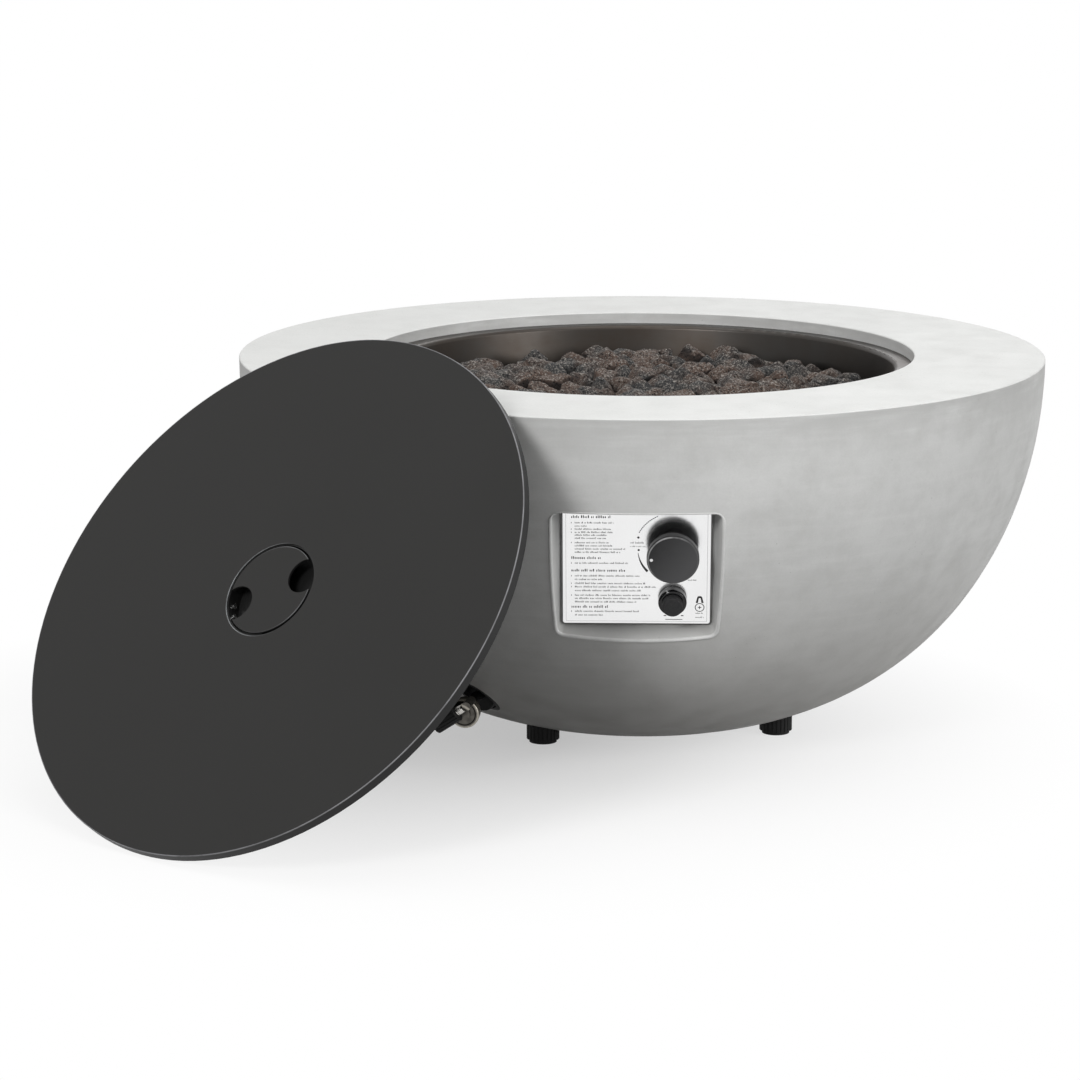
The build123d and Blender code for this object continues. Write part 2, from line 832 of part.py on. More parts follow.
with BuildPart() as valve_plug:
    with BuildSketch(knob_plane.offset(-plug_start)):
        Circle(plug_radius - stem_fit)
        Circle(stem_radius + stem_fit, mode=Mode.SUBTRACT)
    extrude(amount=plug_start - plug_back + knob_push)
finish("valve_plug", valve_plug.part)

with BuildPart() as valve_stem:
    with BuildSketch(knob_plane.offset(-stem_back)):
        Circle(stem_radius)
    extrude(amount=stem_back + stem_front)
finish("valve_stem", valve_stem.part)

knob_back = knob_out - knob_face
with BuildPart() as control_knob:
    with BuildSketch(knob_plane.offset(knob_start)):
        Circle(knob_neck)
    extrude(amount=knob_back - knob_start)
    with BuildSketch(knob_plane.offset(knob_back)):
        Circle(knob_radius)
    extrude(amount=knob_face)
    fillet(control_knob.edges().filter_by(GeomType.CIRCLE).sort_by(SortBy.RADIUS)[-2:], knob_round)
    with BuildSketch(knob_plane.offset(knob_start)):
        Circle(knob_cavity)
    extrude(amount=knob_cavity_depth, mode=Mode.SUBTRACT)
    with BuildSketch(knob_plane.offset(knob_start)):
        Circle(stem_radius)
    extrude(amount=stem_front - knob_start, mode=Mode.SUBTRACT)
    with BuildSketch(knob_plane.offset(knob_out)):
        with Locations((dot_inset - knob_radius, 0)):
            Circle(dot_radius)
    extrude(amount=-dot_depth, mode=Mode.SUBTRACT)
finish("control_knob", control_knob.part)

with BuildPart() as knob_mark:
    with BuildSketch(knob_plane.offset(knob_out)):
        with Locations((dot_inset - knob_radius, 0)):
            Circle(dot_radius)
    extrude(amount=-dot_depth)
finish("knob_mark", knob_mark.part)

# Igniter: body, battery, nut behind the panel, screwed cap and push button
front_bore_end = igniter_collar_out - igniter_step
with BuildPart() as igniter_body:
    with BuildSketch(igniter_plane):
        Circle(igniter_flange)
    extrude(amount=igniter_flange_sheet)
    with BuildSketch(igniter_plane):
        Circle(igniter_collar)
    extrude(amount=igniter_collar_out)
    with BuildSketch(igniter_plane):
        Circle(igniter_barrel)
    extrude(amount=-igniter_back)
    with BuildSketch(igniter_plane.offset(igniter_collar_out)):
        Circle(igniter_front_bore)
    extrude(amount=-igniter_step, mode=Mode.SUBTRACT)
    with BuildSketch(igniter_plane.offset(front_bore_end)):
        Circle(battery_radius + battery_fit)
    extrude(amount=-battery_length - battery_fit, mode=Mode.SUBTRACT)
    with BuildSketch(igniter_plane.offset(-igniter_back)):
        with GridLocations(igniter_barrel, 0, 2, 1):
            Rectangle(terminal_sheet, terminal_width)
    extrude(amount=-terminal_length)
finish("igniter_body", igniter_body.part)

with BuildPart() as igniter_battery:
    with BuildSketch(igniter_plane.offset(front_bore_end)):
        Circle(battery_radius)
    extrude(amount=-battery_length)
    with BuildSketch(igniter_plane.offset(front_bore_end)):
        Circle(battery_radius / 3)
    extrude(amount=battery_tip)
finish("igniter_battery", igniter_battery.part)

with BuildPart() as igniter_nut:
    with BuildSketch(igniter_plane.offset(-panel_sheet)):
        RegularPolygon(igniter_nut_flat / 2, 6, major_radius=False)
        Circle(igniter_barrel + thread_fit, mode=Mode.SUBTRACT)
    extrude(amount=-igniter_nut_height)
finish("igniter_nut", igniter_nut.part)

cap_seat = igniter_flange_sheet + face_gap
with BuildPart() as igniter_cap:
    with BuildSketch(igniter_plane.offset(cap_seat)):
        Circle(cap_radius)
    extrude(amount=cap_height - cap_seat)
    fillet(igniter_cap.edges().sort_by(Axis.Y)[0], cap_round)
    with BuildSketch(igniter_plane.offset(cap_seat)):
        Circle(igniter_collar + face_gap)
    extrude(amount=cap_height - cap_seat - cap_top, mode=Mode.SUBTRACT)
    with BuildSketch(igniter_plane.offset(cap_seat)):
        Circle(cap_opening)
    extrude(amount=cap_height, mode=Mode.SUBTRACT)
finish("igniter_cap", igniter_cap.part)

flange_front = cap_height - cap_top - face_gap
with BuildPart() as igniter_button:
    with BuildSketch(igniter_plane.offset(flange_front)):
        Circle(button_radius)
    extrude(amount=button_out - flange_front)
    fillet(igniter_button.edges().sort_by(Axis.Y)[0], button_round)
    with BuildSketch(igniter_plane.offset(flange_front)):
        Circle(button_flange)
    extrude(amount=-button_flange_sheet)
    with BuildSketch(igniter_plane.offset(flange_front)):
        Circle(button_stem)
    extrude(amount=front_bore_end + battery_tip + battery_fit + button_push - flange_front)
finish("igniter_button", igniter_button.part)


def line_part(start, start_way, lead, bends, end, end_way, radius, bend_radius):
    """A tube from one port to another, straight out of each for a while."""
    points = [start, start + start_way * lead, *bends, end + end_way * lead, end]
    return tube(points, bend_radius, radius)


# Gas lines inside the bowl
outlet_point = Vector(*outlet_face.offset(-port_length).origin)
orifice_point = Vector(0, -mixer_reach - orifice_hex - orifice_tail, mixer_height)
inward = panel_face.z_dir * -1
half_way = Vector(flex_side, (outlet_point.Y + orifice_point.Y) / 2, mixer_height)
with BuildPart() as flex_gas_line:
    way = Vector(0, -1, 0)
    add(line_part(outlet_point, inward, flex_lead, [half_way], orifice_point, way, line_radius, flex_bend))
finish("flex_gas_line", flex_gas_line.part)

pipe_inner = inlet_out * (inlet_wall_radius - pipe_inside) + Vector(0, 0, inlet_height)
pipe_top = pipe_inner + Vector(0, 0, pipe_rise)
port_point = Vector(*inlet_port.offset(port_length).origin)
with BuildPart() as inlet_gas_line:
    way = Vector(-1, 0, 0)
    add(line_part(pipe_top, Vector(0, 0, 1), feed_lead, [], port_point, way, line_radius, feed_bend))
finish("inlet_gas_line", inlet_gas_line.part)

# Thin leads from the pilot to the controls
lead_down = Vector(0, 0, -1)
electrode_foot = Vector(-probe_spacing / 2, -pilot_radius, probe_foot)
terminal_tip = (-igniter_barrel / 2, 0, -igniter_back - terminal_length)
spark_end = Vector(*igniter_plane.from_local_coords(terminal_tip))
with BuildPart() as ignition_lead:
    add(line_part(electrode_foot, lead_down, spark_lead, [], spark_end, inward, lead_radius, spark_bend))
finish("ignition_lead", ignition_lead.part)

probe_end = Vector(probe_spacing / 2, -pilot_radius, probe_foot)
valve_rear = Vector(*knob_plane.from_local_coords((valve_block / 3, valve_block / 3, -valve_back)))
with BuildPart() as thermocouple_lead:
    add(line_part(probe_end, lead_down, probe_lead, [], valve_rear, inward, lead_radius, probe_bend))
finish("thermocouple_lead", thermocouple_lead.part)

# Levelling feet: a threaded insert, a ribbed wheel on its stud, and a pad that stays on the floor
with BuildPart() as foot_inserts:
    with BuildSketch(Plane.XY.offset(foot_top + face_gap)):
        with PolarLocations(foot_circle, foot_count, start_angle=foot_start_angle):
            Circle(insert_radius)
            Circle(foot_stud_radius + thread_fit, mode=Mode.SUBTRACT)
    extrude(amount=insert_length)
finish("foot_inserts", foot_inserts.part)


def foot_places():
    """Centres of the feet around the bowl's axis."""
    for index in range(foot_count):
        angle = math.radians(foot_start_angle + index * 360 / foot_count)
        yield index + 1, foot_circle * math.cos(angle), foot_circle * math.sin(angle)


for number, foot_x, foot_y in foot_places():
    with BuildPart() as foot_wheel:
        with BuildSketch(Plane((foot_x, foot_y, pad_height + face_gap))):
            Circle(foot_radius)
            with PolarLocations(foot_radius, foot_ribs):
                Circle(foot_rib, mode=Mode.SUBTRACT)
        extrude(amount=foot_top - pad_height - face_gap)
        with BuildSketch(Plane((foot_x, foot_y, foot_top))):
            Circle(foot_stud_radius)
        extrude(amount=foot_stud_length)
        with BuildSketch(Plane((foot_x, foot_y, pad_height + face_gap))):
            Circle(pad_pin_radius + stem_fit)
        extrude(amount=pad_pin_height, mode=Mode.SUBTRACT)
    finish(f"foot_wheel_{number}", foot_wheel.part)

    with BuildPart() as foot_pad:
        with BuildSketch(Plane((foot_x, foot_y, 0))):
            Circle(pad_radius)
        extrude(amount=pad_height)
        with BuildSketch(Plane((foot_x, foot_y, pad_height))):
            Circle(pad_pin_radius)
        extrude(amount=pad_pin_height)
    finish(f"foot_pad_{number}", foot_pad.part)

# Gas inlet: grommet in the wall, pipe, regulator and the wheel that takes the gas bottle
with BuildPart() as inlet_grommet:
    with BuildSketch(Plane.XZ):
        add(bowl_outside)
        add(bowl_inside, mode=Mode.SUBTRACT)
    revolve(axis=Axis.Z)
    with BuildSketch(inlet_axis.offset(inlet_wall_radius / 2)):
        Circle(inlet_hole)
        Circle(inlet_hole - grommet_skin, mode=Mode.SUBTRACT)
    extrude(amount=inlet_wall_radius, mode=Mode.INTERSECT)
    with BuildSketch(inlet_axis.offset(inlet_wall_radius - wall)):
        Circle(inlet_hole - grommet_skin)
        Circle(pipe_radius + pipe_fit, mode=Mode.SUBTRACT)
    extrude(amount=grommet_web)
finish("inlet_grommet", inlet_grommet.part)

regulator_way = regulator_face.z_dir
regulator_inlet = Vector(*regulator_back.origin)
pipe_route = [
    pipe_top,
    pipe_inner,
    inlet_mouth + inlet_out * (pipe_radius / 2),
    regulator_inlet - regulator_way * regulator_lead_in,
    regulator_inlet,
]
with BuildPart() as inlet_pipe:
    add(tube(pipe_route, pipe_bend, pipe_radius))
finish("inlet_pipe", inlet_pipe.part)

with BuildPart() as regulator_body:
    with BuildSketch(regulator_back):
        Circle(regulator_radius - regulator_step)
    extrude(amount=regulator_body_depth)
finish("regulator_body", regulator_body.part)

with BuildPart() as regulator_cover:
    with BuildSketch(regulator_face.offset(-regulator_cover_depth)):
        Circle(regulator_radius)
    extrude(amount=regulator_cover_depth)
    fillet(regulator_cover.edges().filter_by(GeomType.CIRCLE).sort_by(Axis.Y)[0], regulator_round)
    with BuildSketch(regulator_face):
        Circle(cap_boss_radius)
    extrude(amount=cap_boss_height)
    with BuildSketch(regulator_face.offset(-regulator_cover_depth)):
        with Locations(lug_place):
            Circle(lug_radius)
    extrude(amount=regulator_cover_depth + lug_standoff + lug_radius)
    with BuildSketch(lug_axis):
        Circle(lug_radius)
    extrude(amount=lug_run)
finish("regulator_cover", regulator_cover.part)

with BuildPart() as inlet_ferrule:
    with BuildSketch(ferrule_plane.offset(-ferrule_length / 2)):
        Circle(ferrule_radius)
    extrude(amount=ferrule_length)
    with BuildSketch(ferrule_plane.offset(ferrule_length / 2)):
        Circle(spigot_radius)
    extrude(amount=handwheel_length - handwheel_bore_depth)
finish("inlet_ferrule", inlet_ferrule.part)

with BuildPart() as inlet_handwheel:
    with BuildSketch(ferrule_plane.offset(ferrule_length / 2 + face_gap)):
        Circle(handwheel_radius)
        with PolarLocations(handwheel_radius, handwheel_ribs):
            Circle(handwheel_rib, mode=Mode.SUBTRACT)
    extrude(amount=handwheel_length)
    with BuildSketch(ferrule_plane.offset(ferrule_length / 2 + face_gap)):
        Circle(spigot_radius + stem_fit)
    extrude(amount=handwheel_length, mode=Mode.SUBTRACT)
    with BuildSketch(ferrule_plane.offset(ferrule_length / 2 + face_gap + handwheel_length)):
        Circle(handwheel_bore)
    extrude(amount=-handwheel_bore_depth, mode=Mode.SUBTRACT)
finish("inlet_handwheel", inlet_handwheel.part)

# Lid: a pressed steel disc with a folded edge, and the recessed handle in its middle
with BuildPart() as lid_plate:
    with BuildSketch(lid_face):
        Circle(lid_radius)
    extrude(amount=-lid_depth)
    fillet(lid_plate.faces().sort_by(Axis(lid_face.origin, lid_face.z_dir))[-1].edges(), lid_edge_round)
    with BuildSketch(lid_face.offset(-lid_sheet)):
        Circle(lid_radius - lid_sheet)
    extrude(amount=2 * lid_sheet - lid_depth, mode=Mode.SUBTRACT)
    with BuildSketch(lid_face.offset(-lid_depth)):
        Circle(lid_radius - lid_sheet - lid_hem)
    extrude(amount=lid_sheet, mode=Mode.SUBTRACT)
    with BuildSketch(lid_face):
        Circle(cup_radius)
    extrude(amount=-lid_sheet, mode=Mode.SUBTRACT)
finish("lid_plate", lid_plate.part)

with BuildPart() as lid_handle_cup:
    with BuildSketch(lid_face.offset(-lid_sheet)):
        Circle(cup_radius + cup_flange)
    extrude(amount=-cup_sheet)
    with BuildSketch(lid_face.offset(-lid_sheet)):
        Circle(cup_radius)
    extrude(amount=lid_sheet - cup_depth - cup_sheet)
    with BuildSketch(lid_face):
        Circle(cup_radius - cup_sheet)
    extrude(amount=-cup_depth, mode=Mode.SUBTRACT)
finish("lid_handle_cup", lid_handle_cup.part)

with BuildPart() as lid_handle_bridge:
    with BuildSketch(lid_face):
        Circle(cup_radius - cup_sheet - bridge_gap)
        with PolarLocations(bite_circle, 2, start_angle=bite_angle):
            Circle(bite_radius, mode=Mode.SUBTRACT)
    extrude(amount=-bridge_sheet)
    with BuildSketch(lid_face.offset(-bridge_sheet)):
        with PolarLocations(cup_radius - cup_sheet - bridge_leg_inset, 2, start_angle=bite_angle + 90):
            Rectangle(bridge_sheet, bridge_leg_width)
    extrude(amount=bridge_sheet - cup_depth)
finish("lid_handle_bridge", lid_handle_bridge.part)

with BuildPart() as lid_handle_screws:
    for side in (0, 180):
        for spread in (-cup_screw_spread, cup_screw_spread):
            turn = math.radians(bite_angle + side + spread)
            way = lean_side * math.cos(turn) + lid_up * math.sin(turn)
            seat = lid_centre + way * (cup_radius - cup_sheet) - lid_out * cup_screw_depth
            with BuildSketch(Plane(origin=seat - way * cup_screw_head, z_dir=way)):
                Circle(cup_screw_radius)
            extrude(amount=cup_screw_head - cup_screw_gap)
finish("lid_handle_screws", lid_handle_screws.part)
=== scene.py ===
"""Looks for the gas fire pit table: materials, lava rock, panel print and the small turned pieces."""

import json
import math
import random

import bmesh
import bpy
import numpy as np
from mathutils import Matrix, Vector, noise


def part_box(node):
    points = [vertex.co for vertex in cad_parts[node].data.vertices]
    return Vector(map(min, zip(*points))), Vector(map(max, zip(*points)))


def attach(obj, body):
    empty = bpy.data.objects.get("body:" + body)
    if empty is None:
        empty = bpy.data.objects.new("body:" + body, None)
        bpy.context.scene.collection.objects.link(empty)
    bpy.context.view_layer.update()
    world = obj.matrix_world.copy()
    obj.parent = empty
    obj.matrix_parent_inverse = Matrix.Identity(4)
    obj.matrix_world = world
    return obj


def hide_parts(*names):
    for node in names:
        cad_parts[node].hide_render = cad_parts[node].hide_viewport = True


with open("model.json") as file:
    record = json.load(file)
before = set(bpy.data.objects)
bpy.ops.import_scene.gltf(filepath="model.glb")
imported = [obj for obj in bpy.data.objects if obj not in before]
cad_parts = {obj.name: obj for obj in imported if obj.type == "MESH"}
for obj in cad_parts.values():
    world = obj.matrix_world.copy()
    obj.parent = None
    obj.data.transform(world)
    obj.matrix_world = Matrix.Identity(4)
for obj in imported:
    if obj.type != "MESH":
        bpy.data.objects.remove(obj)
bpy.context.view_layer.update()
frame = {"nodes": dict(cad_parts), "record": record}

# Camera, found from the outlines of the rim, opening, base and lid in the photograph
LENS_MM = 121.61
CAMERA_PLACE = (0.0, -4.80742, 1.22945)
CAMERA_PITCH = 0.2046
CAMERA_YAW = 0.028

# Control panel: middle of its face, its lean and its directions, and the knob's place on it
PANEL_CENTRE = Vector((-0.004, -0.4573, 0.2932))
PANEL_TILT = math.radians(14)
PANEL_OUT = Vector((0, -math.cos(PANEL_TILT), -math.sin(PANEL_TILT)))
PANEL_UP = Vector((0, -math.sin(PANEL_TILT), math.cos(PANEL_TILT)))
PANEL_RIGHT = Vector((1, 0, 0))
PRINT_LIFT = 0.00004
KNOB_AT = (0.044, 0.0239)
KNOB_MIDDLE = PANEL_CENTRE + PANEL_RIGHT * KNOB_AT[0] + PANEL_UP * KNOB_AT[1]
KNOB_EDGE = 0.0304
# Painted crease lines just inside the plate's folded sides and ends: where they lie, how long and how wide
FOLD_REACH = 0.0862
FOLD_LOW = -0.0735
FOLD_HEIGHT = 0.147
FOLD_WIDTH = 0.00044
END_FOLDS = (-0.0738, 0.0734)
END_FOLD_WIDTH = 0.0003

# Lava rock: how the big rocks are laid in rows, with a gap over the pilot, how each is shaped, and the chips
ROCK_PITCH = 0.0465
ROCK_JITTER = 0.006
ROCK_SIZES = (0.0245, 0.0325)
ROCK_SHAPES = 16
ROCK_FINENESS = 4
ROCK_CUTS = 12
CUT_REACH = (0.52, 0.86)
CUT_SHARE = 0.97
PIT_SCALE = 3.9
PIT_WIDTH = 0.38
PIT_DEPTH = 0.085
ROCK_INSIDE = 0.72
ROCK_CLEAR = 0.0015
ROCK_HEAP = 0.014
CHIP_SIZES = (0.007, 0.0125)
CHIP_SHAPES = 6
CHIP_FINENESS = 3
CHIP_COUNT = 520
CHIP_CLEAR = 0.006
COLUMNS = 12
PILOT_AT = -0.19
PILOT_GAP = (0.018, 0.016)

# Bowl: height, radius and curve of its outside, as in the part's source
BOWL_HEIGHT = 0.489
BOWL_RADIUS = 0.5334
BOWL_DROP = 0.008
BOWL_POWER = 2.578

# Bead round the mouth of the control pocket, thinner along the mouth's top
MOUTH_LOW = Vector((-0.14, -0.6, 0.16))
MOUTH_HIGH = Vector((0.14, -0.3, 0.42))
MOUTH_DEPTH = 0.004
MOUTH_CREASE = math.radians(20)
LIP_RADIUS = 0.0024
LIP_INSET = 0.0015
LIP_STEPS = 300
LIP_SIDES = 14
LIP_THIN_FROM = 0.360
LIP_THIN_RUN = 0.008
LIP_THIN_SHARE = 0.5

# Lid: middle of its face, the way it faces, and its radius
LID_CENTRE = Vector((-0.443152, -0.546863, 0.282776))
LID_NORMAL = Vector((-0.496003, -0.594266, 0.633111))
LID_RADIUS = 0.3555
HANDLE_RADIUS = 0.0637
BRIDGE_RADIUS = 0.0595

# Gas fitting
REGULATOR_AXIS = Vector((-0.22, -0.97, -0.10)).normalized()
REGULATOR_RADIUS = 0.0195
FERRULE_CENTRE = Vector((-0.226058, -0.345920, 0.083778))
FERRULE_AXIS = Vector((-0.80, 0.22, -0.56)).normalized()
FERRULE_LENGTH = 0.010
FERRULE_RADIUS = 0.0056
SPIGOT_LENGTH = 0.012
SPIGOT_RADIUS = 0.0032
BEVEL_END, BEAD_END, GROOVE_END = 0.03, 0.14, 0.18
BEVEL_DEPTH = 0.0004
GROOVE_DEPTH = 0.0008
KNURL_STARTS = 9
KNURL_DEPTH = 0.00055
FERRULE_RINGS = 44
FERRULE_SIDES = 72

# Sockets of the node that mixes two colours, and the range of a noise that holds most of its values
MIX_SHARE, MIX_FIRST, MIX_SECOND, MIX_RESULT = 0, 6, 7, 2
NOISE_RANGE = (0.3, 0.7)
BAND_CORE = 0.45


class Surface:
    """A procedural material: short calls that add texture nodes and join them to its shader."""

    def __init__(self, name, color, roughness, metallic=0.0, specular=0.5):
        self.material = bpy.data.materials.new(name)
        self.material.use_nodes = True
        self.tree = self.material.node_tree
        self.shader = self.tree.nodes["Principled BSDF"]
        self.shader.inputs["Metallic"].default_value = metallic
        self.shader.inputs["Specular IOR Level"].default_value = specular
        self.set("Base Color", (*color, 1.0))
        self.set("Roughness", roughness)
        self.place = self.node("ShaderNodeTexCoord").outputs["Object"]
        self.height = None

    def node(self, kind, **settings):
        made = self.tree.nodes.new(kind)
        for key, value in settings.items():
            setattr(made, key, value)
        return made

    def feed(self, socket, value):
        if isinstance(value, bpy.types.NodeSocket):
            self.tree.links.new(value, socket)
        else:
            socket.default_value = value

    def set(self, name, value):
        self.feed(self.shader.inputs[name], value)

    def math(self, operation, a, b=0.0):
        made = self.node("ShaderNodeMath", operation=operation)
        self.feed(made.inputs[0], a)
        self.feed(made.inputs[1], b)
        return made.outputs[0]

    def times(self, first, *others):
        """The product of two or more values."""
        product = first
        for other in others:
            product = self.math("MULTIPLY", product, other)
        return product

    def vector_math(self, operation, a, b=(0, 0, 0), output="Vector"):
        made = self.node("ShaderNodeVectorMath", operation=operation)
        self.feed(made.inputs[0], a)
        self.feed(made.inputs[1], b)
        return made.outputs[output]

    def split(self, vector):
        """The three parts of a vector."""
        made = self.node("ShaderNodeSeparateXYZ")
        self.feed(made.inputs[0], vector)
        return made.outputs

    def joined(self, x=0.0, y=0.0, z=0.0):
        """A vector of three parts."""
        made = self.node("ShaderNodeCombineXYZ")
        for socket, value in zip(made.inputs, (x, y, z)):
            self.feed(socket, value)
        return made.outputs[0]

    def stretch(self, scale):
        made = self.node("ShaderNodeMapping")
        self.feed(made.inputs["Vector"], self.place)
        made.inputs["Scale"].default_value = scale
        return made.outputs[0]

    def noise(self, scale, detail=4.0, rough=0.55, place=None):
        made = self.node("ShaderNodeTexNoise")
        self.feed(made.inputs["Vector"], place or self.place)
        made.inputs["Scale"].default_value = scale
        made.inputs["Detail"].default_value = detail
        made.inputs["Roughness"].default_value = rough
        return made.outputs[0]

    def cells(self, scale):
        made = self.node("ShaderNodeTexVoronoi")
        self.feed(made.inputs["Vector"], self.place)
        made.inputs["Scale"].default_value = scale
        return made.outputs["Distance"]

    def span(self, value, low, high, to_low=0.0, to_high=1.0):
        made = self.node("ShaderNodeMapRange")
        self.feed(made.inputs["Value"], value)
        made.inputs["From Min"].default_value = low
        made.inputs["From Max"].default_value = high
        made.inputs["To Min"].default_value = to_low
        made.inputs["To Max"].default_value = to_high
        return made.outputs[0]

    def mix(self, share, a, b):
        made = self.node("ShaderNodeMix", data_type="RGBA")
        self.feed(made.inputs[MIX_SHARE], share)
        for index, color in ((MIX_FIRST, a), (MIX_SECOND, b)):
            whole = color if isinstance(color, bpy.types.NodeSocket) else (*color, 1.0)
            self.feed(made.inputs[index], whole)
        return made.outputs[MIX_RESULT]

    def blend(self, value, a, b):
        """Runs from one colour to another with a noise."""
        return self.mix(self.span(value, *NOISE_RANGE), a, b)

    def rough(self, value, low, high):
        """Roughness that follows a noise."""
        self.set("Roughness", self.span(value, *NOISE_RANGE, low, high))

    def offset(self, middle):
        """The way from a point to the place that is shaded."""
        return self.vector_math("SUBTRACT", self.place, middle)

    def from_axis(self, middle, axis):
        """Distance from a line through a point."""
        across = self.vector_math("CROSS_PRODUCT", self.offset(middle), axis)
        return self.vector_math("LENGTH", across, output="Value")

    def along_axis(self, middle, axis):
        """Distance along a line from a point."""
        return self.vector_math("DOT_PRODUCT", self.offset(middle), axis, "Value")

    def band(self, value, middle, half):
        """1 at a value, falling to 0 within a half width."""
        away = self.math("ABSOLUTE", self.math("SUBTRACT", value, middle))
        return self.span(away, half * BAND_CORE, half, 1.0, 0.0)

    def bump(self, value, distance, strength=1.0):
        made = self.node("ShaderNodeBump")
        made.inputs["Strength"].default_value = strength
        made.inputs["Distance"].default_value = distance
        self.feed(made.inputs["Height"], value)
        if self.height is not None:
            self.feed(made.inputs["Normal"], self.height)
        self.height = made.outputs[0]
        self.set("Normal", self.height)


def tinted(color, factor, lift=0.0):
    """A lighter or darker version of a colour."""
    return tuple(min(1.0, c * factor + lift) for c in color)


def plastic(name, color, roughness, grain=900.0):
    """Moulded plastic: fine grain, slight colour and gloss variation."""
    surface = Surface(name, color, roughness, specular=0.4)
    patch = surface.noise(14.0, detail=5.0)
    surface.set("Base Color", surface.blend(patch, color, tinted(color, 1.35, 0.006)))
    surface.rough(patch, roughness - 0.05, roughness + 0.07)
    surface.bump(surface.noise(grain, detail=3.0), 0.00004)
    return surface.material


def metal(name, color, roughness, streak=(40.0, 40.0, 1200.0), depth=0.00002):
    """Worked metal: fine directional lines and cloudy gloss."""
    surface = Surface(name, color, roughness, metallic=1.0)
    lines = surface.noise(1.0, detail=3.0, place=surface.stretch(streak))
    cloud = surface.noise(9.0, detail=5.0)
    surface.set("Base Color", surface.mix(surface.span(cloud, 0.25, 0.75), tinted(color, 0.82), color))
    surface.rough(lines, roughness - 0.04, roughness + 0.04)
    surface.bump(lines, depth, 0.5)
    return surface.material


def gloss(name, color):
    """Polished black plastic with faint polish swirls."""
    surface = Surface(name, color, 0.08, specular=0.2)
    surface.set("Coat Weight", 0.35)
    surface.set("Coat Roughness", 0.04)
    cloud = surface.noise(120.0)
    surface.set("Base Color", surface.blend(cloud, color, tinted(color, 1.6)))
    surface.rough(cloud, 0.06, 0.13)
    surface.bump(surface.noise(1500.0, detail=3.0), 0.000006)
    return surface.material


def grained(name, color):
    """Matte plastic with a pebbled spark-eroded grain."""
    surface = Surface(name, color, 0.6, specular=0.22)
    grain = surface.cells(900.0)
    fine = surface.noise(1600.0)
    surface.set("Base Color", surface.mix(surface.span(grain, 0.2, 0.7), color, tinted(color, 2.2, 0.004)))
    surface.rough(fine, 0.5, 0.75)
    surface.bump(grain, 0.00018, 0.8)
    surface.bump(fine, 0.00006, 0.6)
    return surface.material


def rubber(name, color):
    """Matte rubber with a dusty, finely pitted skin."""
    surface = Surface(name, color, 0.8, specular=0.3)
    dust = surface.noise(30.0, detail=6.0)
    surface.set("Base Color", surface.mix(surface.span(dust, 0.4, 0.75), color, tinted(color, 1.0, 0.02)))
    surface.rough(dust, 0.72, 0.9)
    surface.bump(surface.cells(1400.0), 0.00005, 0.6)
    return surface.material


def paint(name, color, roughness):
    """Baked paint on steel: orange peel, faint speckle and cloudy gloss."""
    surface = Surface(name, color, roughness, specular=0.35)
    speck = surface.span(surface.noise(1500.0, detail=2.0), 0.62, 0.72, 0.0, 0.35)
    cloud = surface.noise(5.0, detail=6.0)
    lighter = tinted(color, 1.25, 0.004)
    surface.set("Base Color", surface.mix(speck, surface.blend(cloud, color, lighter), lighter))
    surface.rough(cloud, roughness - 0.04, roughness + 0.05)
    surface.bump(surface.noise(420.0), 0.00003, 0.6)
    return surface.material


# Painted highlight lines on the lid: radius, half width, colour, least share that the breaking noise leaves,
# and where each fades in leftward
LID_HIGHLIGHTS = (
    (LID_RADIUS - 0.0007, 0.0009, (0.235, 0.235, 0.245), 0.55, None),
    (HANDLE_RADIUS, 0.0009, (0.30, 0.31, 0.32), 0.3, (-0.02, 0.045)),
    (BRIDGE_RADIUS - 0.0004, 0.0008, (0.15, 0.15, 0.155), 0.3, (0.03, -0.03)),
)


def lid_coat():
    """Charcoal paint on the lid and its handle, with painted highlights along the face's outer edge, the
    handle hole and the bridge, and painted shade on the side wall behind the face.
    """
    surface = Surface("lid_paint", (0.0115, 0.0112, 0.0105), 0.5, specular=0.27)
    radius = surface.from_axis(LID_CENTRE, LID_NORMAL)
    depth = surface.along_axis(LID_CENTRE, LID_NORMAL)
    leftward = surface.along_axis(LID_CENTRE, Vector((-1, 0, 0.1)))
    at_face = surface.span(depth, -0.0014, -0.0006)
    side_shade = surface.span(depth, -0.0022, -0.0014, 0.55, 0.0)
    speck = surface.span(surface.noise(1500.0, detail=2.0), 0.62, 0.72, 0.0, 0.35)
    cloud = surface.noise(5.0, detail=6.0)
    highlight_noise = surface.noise(24.0, detail=5.0)
    base = surface.blend(cloud, (0.0105, 0.0102, 0.0096), (0.0135, 0.0131, 0.0125))
    base = surface.mix(speck, base, (0.024, 0.0235, 0.0225))
    # Painted shade: the side wall just behind the face is darker
    base = surface.mix(side_shade, base, (0.006, 0.006, 0.0066))
    for middle, half, color, least, reach in LID_HIGHLIGHTS:
        line = surface.times(surface.band(radius, middle, half), at_face)
        if reach:
            line = surface.times(line, surface.span(leftward, *reach, 0.03, 1.0))
        # Painted highlight, broken up by a noise
        worn = surface.times(line, surface.span(highlight_noise, 0.35, 0.6, least, 1.0))
        base = surface.mix(worn, base, color)
    surface.set("Base Color", base)
    surface.rough(cloud, 0.46, 0.55)
    surface.bump(surface.noise(420.0), 0.00003, 0.6)
    return surface.material


